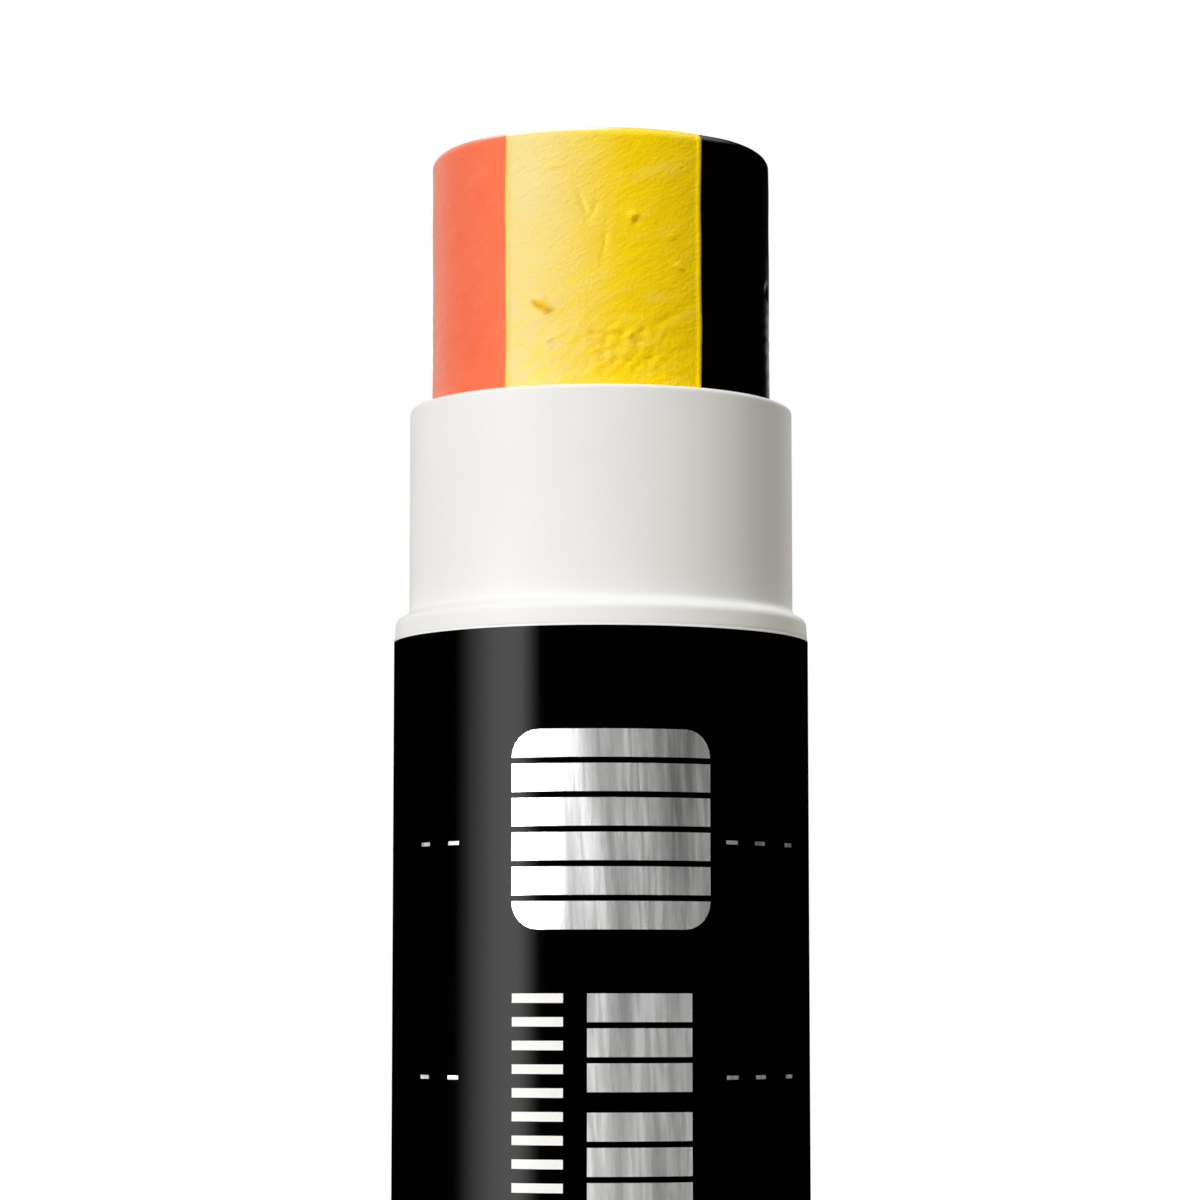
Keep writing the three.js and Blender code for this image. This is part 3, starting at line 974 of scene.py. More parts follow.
@dataclass
class Label:
    """The black film and what is printed on it."""

    solids: Solids
    thickness: float = 0.17
    top_rounding: float = 0.03
    top_reach: float = 0.045
    seam: float = 187.0
    seam_step: float = 0.4
    lap_start: float = 166.0
    lap_fade: float = 5.0
    lap_lift: float = 0.05
    print_sunk: float = 0.02
    print_pitch: float = 1.2
    foil_lift: float = 0.012
    ink_lift: float = 0.01
    columns: int = 180

    block_middle: float = 2.98
    block_width: float = 9.48
    block_height: float = 9.17
    block_top_drop: float = 4.83
    block_corner: float = 1.6
    strips: int = 6
    strip_gap: float = 0.28

    print_top_drop: float = 16.9
    print_foot: float = 27.0
    bar_left: float = -3.63
    bar_right: float = 24.6
    bar_height: float = 1.3
    bars_in_group: int = 3
    group_gap: float = 0.92
    tick_left: float = -24.0
    tick_right: float = -9.95
    tick_height: float = 0.43
    tick_pitch: float = 1.072

    dash_top_drop: float = 9.97
    dash_pitch: float = 10.77
    dash_azimuths: tuple[float, ...] = (
        37.2, 47.6, 61.4, 98.6, 110.2, 122.0, 198.0, 210.0, 222.0, 246.0, 258.0, 270.0, 305.1, 317.0,
    )
    dash_width: float = 0.68
    dash_height: float = 0.18
    dash_foot: float = 20.0

    def film(self) -> Mesh:
        """Wraps the film, with its outer end lapped over the inner one at the back.

        Returns:
            The film's mesh.
        """
        size = self.solids
        azimuths = np.append(even_azimuths(self.columns), [self.seam, self.seam + self.seam_step])
        azimuths.sort()
        climb = np.clip((azimuths - self.lap_start) / self.lap_fade, 0, 1)
        lap = self.lap_lift * climb * climb * (3 - 2 * climb) * (azimuths <= self.seam)
        inner = size.body_radius - self.thickness
        edge = self.top_rounding
        foot = arc((size.body_radius - edge, size.label_foot + edge), edge, -90, 0, steps=4)
        film_top = size.label_top + self.top_reach
        top = arc((size.body_radius - edge, film_top - edge), edge, 0, 90, steps=3)
        lapped = [(radius + lap, height) for radius, height in foot + top]
        outline = held([(inner, size.label_foot), *lapped, (inner, film_top)], margin=0.05)
        return revolved("printed_film", outline, azimuths)

    def printed(self, name: str, marks: list[Mark], lift: float) -> Mesh:
        """Joins printed marks into one mesh of thin closed patches.

        Args:
            name: Name of the mesh.
            marks: The marks.
            lift: How far they stand out of the film, in millimetres.

        Returns:
            The mesh.
        """
        points: list[list[float]] = []
        faces: list[list[int]] = []
        for mark in marks:
            sheets = patch_sheets(mark, self.solids.body_radius, (lift, -self.print_sunk), self.print_pitch)
            faces += patch_faces(np.arange(sheets[..., 0].size).reshape(sheets.shape[:3]) + len(points))
            points += sheets.reshape(-1, 3).tolist()
        mesh = bpy.data.meshes.new(name)
        mesh.from_pydata(points, [], faces)
        return mesh

    def half_turn(self, width: float) -> float:
        """Half the degrees that a width takes up on the label."""
        return math.degrees(width / 2 / self.solids.body_radius)

    def block(self) -> list[Mark]:
        """Lays out the rounded block of foil near the top of the label.

        Returns:
            The level strips that it is split into.
        """
        half = self.half_turn(self.block_width)
        left, right = self.block_middle - half, self.block_middle + half
        strip = (self.block_height - (self.strips - 1) * self.strip_gap) / self.strips
        foot = self.solids.label_top - self.block_top_drop - self.block_height
        marks = []
        for index in range(self.strips):
            low = foot + index * (strip + self.strip_gap)
            rounded = (index == 0, index == self.strips - 1)
            marks.append(Mark(left, right, low, low + strip, rounded, min(self.block_corner, strip)))
        return marks

    def bars(self) -> list[Mark]:
        """Lays out the column of foil bars that runs down the label.

        Returns:
            The bars, in groups.
        """
        marks = []
        high = self.solids.label_top - self.print_top_drop
        while high - self.bar_height > self.print_foot:
            for _ in range(self.bars_in_group):
                marks.append(Mark(self.bar_left, self.bar_right, high - self.bar_height, high))
                high -= self.bar_height + self.strip_gap
            high += self.strip_gap - self.group_gap
        return marks

    def ticks(self) -> list[Mark]:
        """Lays out the narrow column of white ticks beside the bars.

        Returns:
            The ticks.
        """
        top = self.solids.label_top - self.print_top_drop
        count = int((top - self.print_foot) / self.tick_pitch)
        highs = [top - index * self.tick_pitch for index in range(count)]
        return [Mark(self.tick_left, self.tick_right, high - self.tick_height, high) for high in highs]

    def dashes(self) -> list[Mark]:
        """Lays out the rows of small foil dashes round the label, clear of its front and its seam.

        Returns:
            The dashes.
        """
        half = self.half_turn(self.dash_width)
        marks = []
        height = self.solids.label_top - self.dash_top_drop
        while height > self.dash_foot:
            low, high = height - self.dash_height / 2, height + self.dash_height / 2
            marks += [Mark(middle - half, middle + half, low, high) for middle in self.dash_azimuths]
            height -= self.dash_pitch
        return marks

    def build(self) -> None:
        """Builds the film and its print."""
        film = BLACK_FILM.made(self.solids.label_top)
        add_piece(self.film(), film, Body.BARREL, "label_film")
        foil = SILVER_FOIL.made()
        prints = (
            ("foil_block", self.block(), self.foil_lift, foil),
            ("foil_bars", self.bars(), self.foil_lift, foil),
            ("foil_dashes", self.dashes(), self.foil_lift, foil),
            ("white_ticks", self.ticks(), self.ink_lift, WHITE_INK.made()),
        )
        for name, marks, lift, material in prints:
            add_piece(self.printed(name, marks, lift), material, Body.BARREL)


@dataclass(frozen=True)
class Flaw:
    """A small lump or pit in the cast paint."""

    azimuth: float
    height: float
    length: float
    width: float
    tilt: float
    lift: float

    def relief(self, azimuths: np.ndarray, heights: np.ndarray, radius: float) -> np.ndarray:
        """How far the flaw lifts each point.

        Args:
            azimuths: Azimuths of the points in degrees.
            heights: Their heights in millimetres.
            radius: Radius of the stick.

        Returns:
            The lifts in millimetres.
        """
        turn = (azimuths - self.azimuth + TURN / 2) % TURN - TURN / 2
        across = np.radians(turn) * radius
        up = heights - self.height
        cosine, sine = math.cos(math.radians(self.tilt)), math.sin(math.radians(self.tilt))
        along = across * cosine + up * sine
        aside = up * cosine - across * sine
        return self.lift * np.exp(-((along / self.length) ** 2) - (aside / self.width) ** 2)


def default_flaws() -> list[Flaw]:
    """Lists the flaws near the top of the stick.

    Returns:
        The flaws, with pits and scratches lifted by less than nought.
    """
    return [
        Flaw(-20.3, 113.78, 0.4, 0.16, -28, 0.42),
        Flaw(-17.9, 113.5, 0.18, 0.14, 0, 0.26),
        Flaw(-19.6, 114.05, 0.12, 0.08, 0, 0.093),
        Flaw(-17.25, 112.03, 0.12, 0.09, 0, 0.139),
        Flaw(10.9, 117.87, 0.18, 0.15, 0, 0.3),
        Flaw(11.6, 117.6, 0.13, 0.1, 0, -0.15),
        Flaw(26.6, 115.54, 0.26, 0.11, -22, 0.139),
        Flaw(24.0, 117.0, 0.3, 0.1, 25, 0.078),
        Flaw(-14.8, 120.3, 0.45, 0.08, 2, 0.062),
        Flaw(-5.9, 118.45, 0.8, 0.08, -72, -0.078),
        Flaw(-2.3, 118.15, 0.55, 0.08, 67, -0.078),
        Flaw(1.2, 116.5, 1.2, 0.08, 83, -0.07),
        Flaw(-2.9, 112.28, 0.13, 0.1, 0, -0.124),
        Flaw(-0.9, 112.42, 0.12, 0.09, 20, 0.109),
        Flaw(2.0, 112.25, 0.16, 0.08, 20, -0.109),
        Flaw(4.4, 112.46, 0.14, 0.1, 30, 0.124),
        Flaw(7.0, 112.3, 0.14, 0.09, 0, -0.124),
        Flaw(9.5, 112.22, 0.13, 0.12, 0, 0.202),
        Flaw(13.5, 112.47, 0.13, 0.1, 0, -0.109),
        Flaw(9.5, 110.65, 0.1, 0.09, 0, 0.139),
        Flaw(18.0, 111.3, 0.5, 0.09, 30, -0.062),
        Flaw(21.0, 113.0, 0.7, 0.09, 30, -0.054),
        Flaw(-46.3, 114.95, 1.1, 0.09, 22, -0.054),
        Flaw(-55.2, 112.68, 0.7, 0.1, 6, -0.054),
        Flaw(79.0, 115.5, 0.4, 0.25, 0, -0.08),
    ]


@dataclass
class PaintStick:
    """The cast stick of three slabs, which meet on seams that are nearly flat."""

    solids: Solids
    edge: float = 0.5
    foot_radius: float = 7.25
    foot_height: float = 8.0
    bore_radius: float = 3.3
    bore_top: float = 107.0
    seam_rounding: float = 0.05
    seam_ridge: float = 0.06
    seam_ridge_inset: float = 0.12
    seam_ridge_width: float = 0.09
    # where the painted shade goes: a little below lumps and in pits, and from which depth it is full
    painted_shade_drop: float = 0.07
    painted_shade_from: float = 0.05
    painted_shade_full: float = 0.22
    worn_corner: float = 0.28
    worn_height: float = 0.45
    worn_width: float = 0.8
    seam_wobble: float = 0.05
    wobble_grain: Pair = (0.12, 0.35)
    wobble_fade: float = 1.2
    fine_depth: float = 12.7
    fine_step: float = 0.12
    plain_step: float = 1.8
    edge_steps: int = 9
    arc_places: int = 110
    arc_crowding: float = 0.5
    seam_places: int = 22
    corner_places: int = 4
    cap_rings: int = 16
    cap_middle: float = 0.04
    bore_rings: int = 11
    bore_middle: float = 0.1
    foot_shares: Pair = (0.35, 0.7)
    skin_reach: float = 1.3
    skin_fade: float = 1.0
    skin_foot: float = 0.1
    swell: float = 0.03
    swell_grain: float = 0.3
    rub_tilt: float = 26.0
    smear_relief: float = 0.02
    smear_grain: Triple = (0.35, 0.4, 2.6)
    smear_top: float = 117.5
    smear_foot: float = 113.5
    smear_least: float = 0.15
    crumb_relief: float = 0.12
    crumb_grain: Triple = (2.9, 0.4, 4.3)
    crumb_least: float = 0.02
    # how much painted shade the crumbs' pits get
    crumb_painted_shade: float = 2.4
    crumb_x: float = 0.9
    crumb_height: float = 111.4
    crumb_width: float = 2.4
    crumb_reach: float = 1.5
    lump_limit: float = 0.15
    flaws: list[Flaw] = field(default_factory=default_flaws)

    def section(self, radius: float, left: float, right: float) -> np.ndarray:
        """One slab's outline seen from above, anticlockwise from its front left corner.

        Args:
            radius: Radius of the stick at that height.
            left: Left seam's x, or less than -radius where the slab has none.
            right: Right seam's x, or more than radius where it has none.

        Returns:
            The outline's points, with as many places for any radius.
        """
        has_left, has_right = (abs(seam) < self.solids.stick_radius for seam in (left, right))
        trim = self.seam_rounding / radius
        start = math.asin(left / radius) + trim if has_left else -math.pi / 2
        stop = math.asin(right / radius) - trim if has_right else math.pi / 2
        shares = np.linspace(0, 1, self.arc_places)
        shares -= self.arc_crowding * np.sin(2 * math.pi * shares) / (2 * math.pi)
        turns = start + (stop - start) * shares
        front = np.stack([radius * np.sin(turns), -radius * np.cos(turns)], axis=-1)
        back = front[::-1] * (1, -1)
        parts = [front]
        if has_right:
            parts += self.seam_side(front[-1], right, math.sqrt(radius**2 - right**2), back[0])
        parts.append(back if has_right else back[1:])
        if has_left:
            parts += self.seam_side(back[-1], left, -math.sqrt(radius**2 - left**2), front[0])
        loop = np.concatenate(parts)
        return loop if has_left else loop[:-1]

    def seam_side(
        self, before: np.ndarray, seam: float, reach: float, after: np.ndarray
    ) -> list[np.ndarray]:
        """A seam between two rounded corners.

        Args:
            before: The arc's point before the first corner.
            seam: The seam's x.
            reach: The y at which it ends, unrounded. It starts at the opposite y.
            after: The arc's point after the last corner.

        Returns:
            The points of the corner, the seam and the other corner.
        """
        heading = math.copysign(self.seam_rounding, reach)
        enter = np.array([seam, heading - reach])
        leave = np.array([seam, reach - heading])
        shares = np.linspace(0, 1, self.corner_places + 2)[1:-1, None]
        rounded = []
        for start, corner, end in ((before, (seam, -reach), enter), (leave, (seam, reach), after)):
            bend = np.array(corner) * 2 * shares * (1 - shares)
            rounded.append(start * (1 - shares) ** 2 + bend + end * shares**2)
        straight = np.linspace(enter, leave, self.seam_places)
        return [rounded[0], straight, rounded[1]]

    def heights(self) -> Outline:
        """Works out the rings of a slab's side.

        Returns:
            Radius and height of each ring, from the foot up to the flat top.
        """
        size = self.solids
        shoulder = size.paint_foot + self.foot_height
        fine_foot = size.stick_top - self.fine_depth
        rounding = size.stick_top - self.edge
        rings = [(self.foot_radius, size.paint_foot), (self.foot_radius, shoulder)]
        plain = np.arange(shoulder, fine_foot, self.plain_step)
        fine = np.arange(fine_foot, rounding, self.fine_step)
        rings += [(size.stick_radius, height) for height in (*plain, *fine)]
        rings += arc((size.stick_radius - self.edge, rounding), self.edge, 0, 90, self.edge_steps)
        return rings

    def rubbed(self, point: np.ndarray, fineness: Triple) -> float:
        """Noise drawn out along the way in which the paint was rubbed.

        Args:
            point: The point in millimetres.
            fineness: Features in a millimetre along that way, into the paint and across.

        Returns:
            A value round nought.
        """
        x, y, z = point
        tilt = math.radians(self.rub_tilt)
        along = x * math.cos(tilt) + z * math.sin(tilt)
        aside = z * math.cos(tilt) - x * math.sin(tilt)
        return noise.noise(Vector((along * fineness[0], y * fineness[1], aside * fineness[2])))

    def cast(self, points: np.ndarray, skin: np.ndarray) -> np.ndarray:
        """The slow swell and the smears of the cast surface.

        Args:
            points: Points of the smooth stick in millimetres, one row each.
            skin: How much each point belongs to the surface, from 0 to 1.

        Returns:
            How far each point is lifted, in millimetres.
        """
        lift = np.zeros(len(points))
        for row in np.flatnonzero(skin > 0):
            x, y, z = points[row] * self.swell_grain
            worn = (self.smear_top - points[row, 2]) / (self.smear_top - self.smear_foot)
            worn = min(max(worn, self.smear_least), 1.0)
            smear = self.smear_relief * worn * self.rubbed(points[row], self.smear_grain)
            lift[row] = self.swell * noise.noise(Vector((x, y, z))) + smear
        return lift

    def weather(self, points: np.ndarray, ridged: bool) -> np.ndarray:
        """Makes the smooth stick uneven, as casting and rubbing do.

        The surface gets its swell, smears, flaws and crumbs, the seams wobble, and at its top the
        black seam is rubbed over towards -X. Lumps stay lower than the room that the stick has in
        the barrel's bore.

        Args:
            points: Points of the smooth stick in millimetres, one row each.
            ridged: True for the slab whose paint was pressed up along both its seams.

        Returns:
            The uneven points.
        """
        size = self.solids
        across = np.hypot(points[:, 0], points[:, 1])
        azimuths = azimuths_of(points)
        skin = np.clip((across - size.stick_radius + self.skin_reach) / self.skin_fade, 0, 1)
        skin *= points[:, 2] > size.paint_foot + self.foot_height + self.skin_foot
        out = self.cast(points, skin)
        for flaw in self.flaws:
            out += flaw.relief(azimuths, points[:, 2], size.stick_radius)
        out += self.crumbs(points)
        if ridged:
            for seam, inward in ((size.red_seam, 1.0), (size.black_seam, -1.0)):
                aside = points[:, 0] - seam - inward * self.seam_ridge_inset
                out += self.seam_ridge * np.exp(-((aside / self.seam_ridge_width) ** 2))
        out = np.where(out > 0, self.lump_limit * np.tanh(out / self.lump_limit), out)
        moved = points.copy()
        moved[:, :2] *= (1 + out * skin / np.maximum(across, NEXT_TO_NOUGHT))[:, None]
        along, up = self.wobble_grain
        wobble = np.array([noise.noise(Vector((0.0, y * along, z * up))) for _, y, z in points])
        inner = np.clip((across - self.bore_radius) / self.wobble_fade, 0, 1)
        moved[:, 0] += self.seam_wobble * wobble * inner * (points[:, 2] > self.bore_top)
        rise = np.clip((points[:, 2] - size.stick_top) / self.worn_height + 1, 0, 1)
        beside = np.exp(-(((points[:, 0] - size.black_seam) / self.worn_width) ** 2))
        moved[:, 0] -= self.worn_corner * (1 - np.sqrt(1 - rise**2)) * beside
        return moved

    def crumbs(self, points: np.ndarray) -> np.ndarray:
        """The rough patch low on the front, where rubbed paint has crumbled.

        Args:
            points: Points of the smooth stick in millimetres, one row each.

        Returns:
            How far each point is lifted, in millimetres.
        """
        beside = (points[:, 0] - self.crumb_x) / self.crumb_width
        above = (points[:, 2] - self.crumb_height) / self.crumb_reach
        patch = np.exp(-(beside**2) - above**2) * (points[:, 1] < 0)
        lift = np.zeros(len(points))
        for row in np.flatnonzero(patch > self.crumb_least):
            lift[row] = patch[row] * self.rubbed(points[row], self.crumb_grain)
        return self.crumb_relief * lift

    def painted_shade_shares(self, points: np.ndarray) -> np.ndarray:
        """How much painted shade each point has: it is painted just below lumps and in pits.

        Args:
            points: Points of the smooth stick in millimetres, one row each.

        Returns:
            A share from 0 to 1 for each point.
        """
        azimuths = azimuths_of(points)
        lift = np.zeros(len(points))
        for flaw in self.flaws:
            # lumps are looked up a little lower, so that their painted shade falls below them
            drop = self.painted_shade_drop if flaw.lift > 0 else 0.0
            lift += np.abs(flaw.relief(azimuths, points[:, 2] + drop, self.solids.stick_radius))
        lift += self.crumb_painted_shade * np.maximum(-self.crumbs(points), 0.0)
        return np.clip((lift - self.painted_shade_from) / (self.painted_shade_full - self.painted_shade_from), 0, 1)

    def cap(self, ring: np.ndarray, upwards: bool) -> np.ndarray:
        """Rings that close a slab's flat end towards its middle.

        Args:
            ring: The end's outer ring in millimetres.
            upwards: True for the top, whose rings follow the side's, and False for the foot.

        Returns:
            The rings, in the order in which they join the loft.
        """
        middle = ring.mean(axis=0)
        shares = np.linspace(1, self.cap_middle, self.cap_rings)[1:]
        rings = np.stack([middle + (ring - middle) * share for share in shares])
        return rings if upwards else rings[::-1]

    def bore(self, ring: np.ndarray) -> np.ndarray:
        """Rings of the yellow slab's blind bore and of the foot round it.

        Args:
            ring: The foot's outer ring in millimetres.

        Returns:
            The rings, from the bore's closed top down and out to the foot.
        """
        turns = np.arctan2(ring[:, 0], -ring[:, 1])
        circle = np.stack([self.bore_radius * np.sin(turns), -self.bore_radius * np.cos(turns)], axis=-1)
        steps = np.linspace(self.bore_top, self.solids.paint_foot, self.bore_rings + 1)
        inner = [level_ring(circle * self.bore_middle, self.bore_top)]
        inner += [level_ring(circle, height) for height in steps]
        between = [inner[-1] + (ring - inner[-1]) * share for share in self.foot_shares]
        return np.stack(inner + between)

    def slab(self, name: str, left: float, right: float, bored: bool) -> Mesh:
        """One slab of the stick.

        Args:
            name: Name of the mesh.
            left: Left seam's x in millimetres.
            right: Right seam's x.
            bored: True for the slab that the spindle runs in.

        Returns:
            The closed mesh.
        """
        side = [level_ring(self.section(radius, left, right), height) for radius, height in self.heights()]
        rings = np.stack(side)
        foot = self.bore(rings[0]) if bored else self.cap(rings[0], upwards=False)
        rings = np.concatenate([foot, rings, self.cap(rings[-1], upwards=True)])
        smooth = rings.reshape(-1, 3)
        points = self.weather(smooth, ridged=bored)
        mesh = loft(name, points.reshape(rings.shape) * MM, Ends.POLES)
        # each point's share of painted shade, marked on the mesh for the paint's material
        painted_shade_shares = np.zeros(len(mesh.vertices))
        painted_shade_shares[: len(smooth)] = self.painted_shade_shares(smooth)
        mesh.attributes.new("painted_shade", "FLOAT", "POINT").data.foreach_set("value", painted_shade_shares)
        return mesh

    def build(self) -> None:
        """Builds the three slabs, and dresses the carrier that holds them."""
        reach = 2 * self.solids.stick_radius
        red, black = self.solids.red_seam, self.solids.black_seam
        slabs = (
            ("red_slab", -reach, red, RED_PAINT, Slot.RED_PAINT, "paint_red"),
            ("yellow_slab", red, black, YELLOW_PAINT, Slot.YELLOW_PAINT, "paint_yellow"),
            ("black_slab", black, reach, BLACK_PAINT, Slot.BLACK_PAINT, "paint_black"),
        )
        for name, left, right, paint, slot, node in slabs:
            mesh = self.slab(name, left, right, bored=node == "paint_yellow")
            add_piece(mesh, paint.made(self.solids), Body.CARRIER, node)
        dress_solid("carrier", NATURAL_PLASTIC.made())


@dataclass
class Knob:
    """The fluted twist knob, its end plug, and what it carries."""

    solids: Solids
    rounding: float = 0.7
    wall: float = 1.9
    deck: float = 1.8
    boss_radius: float = 4.0
    boss_height: float = 5.2
    spigot_radius: float = 6.92
    spigot_top: float = 18.4
    tang_half: float = 1.85
    flutes: int = 24
    flute_radius: float = 0.9
    flute_depth: float = 0.5
    flute_end: float = 2.4
    flute_softness: float = 0.03
    soft_reach: float = 0.3
    flute_flare: float = 3.0
    columns_in_flute: int = 16
    first_level: float = 1.5
    level_step: float = 1.0
    level_room: float = 0.4
    end_margin: float = 0.1
    end_levels: int = 12
    plug_ledge: float = 0.5
    plug_disc: float = 1.4
    plug_skirt: float = 3.0
    plug_wall: float = 0.9
    plug_rounding: float = 0.12
    plug_columns: int = 128
    fit: float = 0.05
    running_gap: float = 0.3
    gate_radius: float = 1.1
    gate_depth: float = 0.25
    step_radius: float = 6.2
    step_depth: float = 0.15
    step_slope: float = 0.12
    step_width: float = 0.33
    step_rounding: float = 0.1
    step_lean: float = 10.0

    @property
    def body_top(self) -> float:
        """Height of the face below the spigot, under the barrel's foot."""
        return self.solids.barrel_foot - self.running_gap

    @property
    def cavity(self) -> float:
        """Radius of the hollow underside."""
        return self.solids.body_radius - self.wall

    def fluted(self, outer: float, height: float, azimuths: np.ndarray) -> np.ndarray:
        """Radii of the knob's side where the flutes are cut into it.

        Args:
            outer: Radius of the unfluted side at that height.
            height: The height in millimetres.
            azimuths: Azimuths of the columns.

        Returns:
            One radius for each column.
        """
        pitch = TURN / self.flutes
        turn = np.radians((azimuths + pitch / 2) % pitch - pitch / 2)
        across = turn * self.solids.body_radius
        past = max(0.0, height - (self.body_top - self.flute_end - self.flute_radius))
        reach = math.sqrt(max(self.flute_radius**2 - past**2, 0.0))
        middle = self.solids.body_radius + self.flute_radius - self.flute_depth
        depth = np.sqrt(np.maximum(reach**2 - across**2, 0.0))
        cut = middle - depth + self.flute_flare * np.maximum(np.abs(across) - reach, 0.0)
        gap = (cut - outer) / 2
        return (cut + outer) / 2 - np.sqrt(gap**2 + self.flute_softness**2 * (gap < self.soft_reach))

    def shell(self) -> Mesh:
        """Builds the knob with its spigot, boss and square socket.

        Returns:
            The knob's mesh.
        """
        size = self.solids
        azimuths = even_azimuths(self.flutes * self.columns_in_flute)
        top = self.body_top
        ledge = self.cavity + self.plug_ledge
        deck_foot = top - self.deck
        boss_foot = deck_foot - self.boss_height
        side = size.body_radius - self.rounding
        flute_top = top - self.flute_end
        end_foot = flute_top - self.flute_radius
        plain = np.arange(self.first_level, end_foot - self.level_room, self.level_step)
        ends = np.linspace(end_foot - self.end_margin, flute_top + self.end_margin, self.end_levels)
        outer = arc((side, self.rounding), self.rounding, -90, 0, steps=8)
        outer += [(size.body_radius, level) for level in (*plain, *ends)]
        cut = [(self.fluted(radius, height, azimuths), height) for radius, height in outer]
        turn = np.radians(azimuths)
        socket = self.tang_half / np.maximum(np.abs(np.sin(turn)), np.abs(np.cos(turn)))
        outline = [
            (ledge, 0.0),
            *cut,
            *arc((side, top - self.rounding), self.rounding, 0, 90, steps=8),
            (self.spigot_radius, top),
            (self.spigot_radius, self.spigot_top),
            (socket, self.spigot_top),
            (socket, boss_foot),
            (self.boss_radius, boss_foot),
            (self.boss_radius, deck_foot),
            (self.cavity, deck_foot),
            (self.cavity, self.plug_disc),
            (ledge, self.plug_disc),
        ]
        return revolved("fluted_knob", outline, azimuths)

    def plug(self) -> Mesh:
        """Builds the end plug, with the mark of the mould's gate in the middle of its face.

        Returns:
            The plug's mesh.
        """
        disc = self.cavity + self.plug_ledge - self.fit
        skirt = self.cavity - self.fit
        disc_top = self.plug_disc - self.fit
        skirt_top = disc_top + self.plug_skirt
        edge = self.step_rounding
        step_start = self.step_radius + self.step_slope
        step_end = step_start + self.step_width
        brow = disc - self.plug_rounding
        outline = held([
            (0.0, self.gate_depth),
            (self.gate_radius - edge, self.gate_depth),
            *arc((self.gate_radius, edge), edge, 180, 270, steps=3),
            *arc((self.step_radius, edge), edge, -90, -self.step_lean, steps=3),
            (step_start, self.step_depth),
            (step_end, self.step_depth),
            *arc((step_end + self.step_depth, edge), edge, 180 + self.step_lean, 270, steps=3),
            *arc((brow, self.plug_rounding), self.plug_rounding, -90, 0, steps=4),
            (disc, disc_top),
            (skirt, disc_top),
            (skirt, skirt_top),
            (skirt - self.plug_wall, skirt_top),
            (skirt - self.plug_wall, disc_top),
            (0.0, disc_top),
        ])
        return revolved("end_plug", outline, even_azimuths(self.plug_columns))

    def build(self) -> None:
        """Builds the knob and its plug, and dresses the spindle and the seal."""
        plastic = WHITE_PLASTIC.made()
        add_piece(self.shell(), plastic, Body.KNOB, "knob")
        add_piece(self.plug(), plastic, Body.KNOB, "knob_end_plug")
        dress_solid("spindle", NATURAL_PLASTIC.made())
        dress_solid("seal_ring", BLACK_RUBBER.made())


@dataclass(frozen=True)
class Lamp:
    """A square soft lamp that shines at the middle of the marker's upper half."""

    name: str
    azimuth: float
    elevation: float
    distance: float
    size: float
    light: float
    colour: Colour = grey(1.0)
    mirrored: bool = False
    aim: float = 0.095

    def build(self) -> None:
        """Adds the lamp. Its light is what it adds to a white surface that faces it."""
        turn, rise = math.radians(self.azimuth), math.radians(self.elevation)
        away = Vector((math.sin(turn) * math.cos(rise), -math.cos(turn) * math.cos(rise), math.sin(rise)))
        data = bpy.data.lights.new(self.name, "AREA")
        data.shape = "SQUARE"
        data.size = self.size
        data.color = self.colour
        data.energy = self.light * math.pi**2 * self.distance**2
        lamp = placed(self.name, data)
        lamp.location = Vector((0, 0, self.aim)) + away * self.distance
        lamp.rotation_euler = away.to_track_quat("Z", "Y").to_euler()
        lamp.visible_glossy = self.mirrored


@dataclass(frozen=True)
class Card:
    """A bright card on the reflection wall, between four azimuths, with soft sides."""

    start: float
    full_from: float
    full_to: float
    end: float
    strength: float
    foot: float = -0.03
    top: float = 0.53
    blur: float = 0.01

    def light(self, recipe: Recipe, degrees: Socket, height: Socket) -> Socket:
        """The card's light at each place of the wall.

        Args:
            recipe: The wall's recipe.
            degrees: The azimuth of the place.
            height: Its height in metres.

        Returns:
            The strength of its light.
        """
        begun = recipe.span(degrees, self.start, self.full_from)
        level = recipe.times(begun, recipe.span(degrees, self.full_to, self.end, 1.0, 0.0))
        risen = recipe.span(height, self.foot, self.foot + self.blur)
        upright = recipe.times(risen, recipe.span(height, self.top - self.blur, self.top, 1.0, 0.0))
        return recipe.times(level, upright, self.strength)


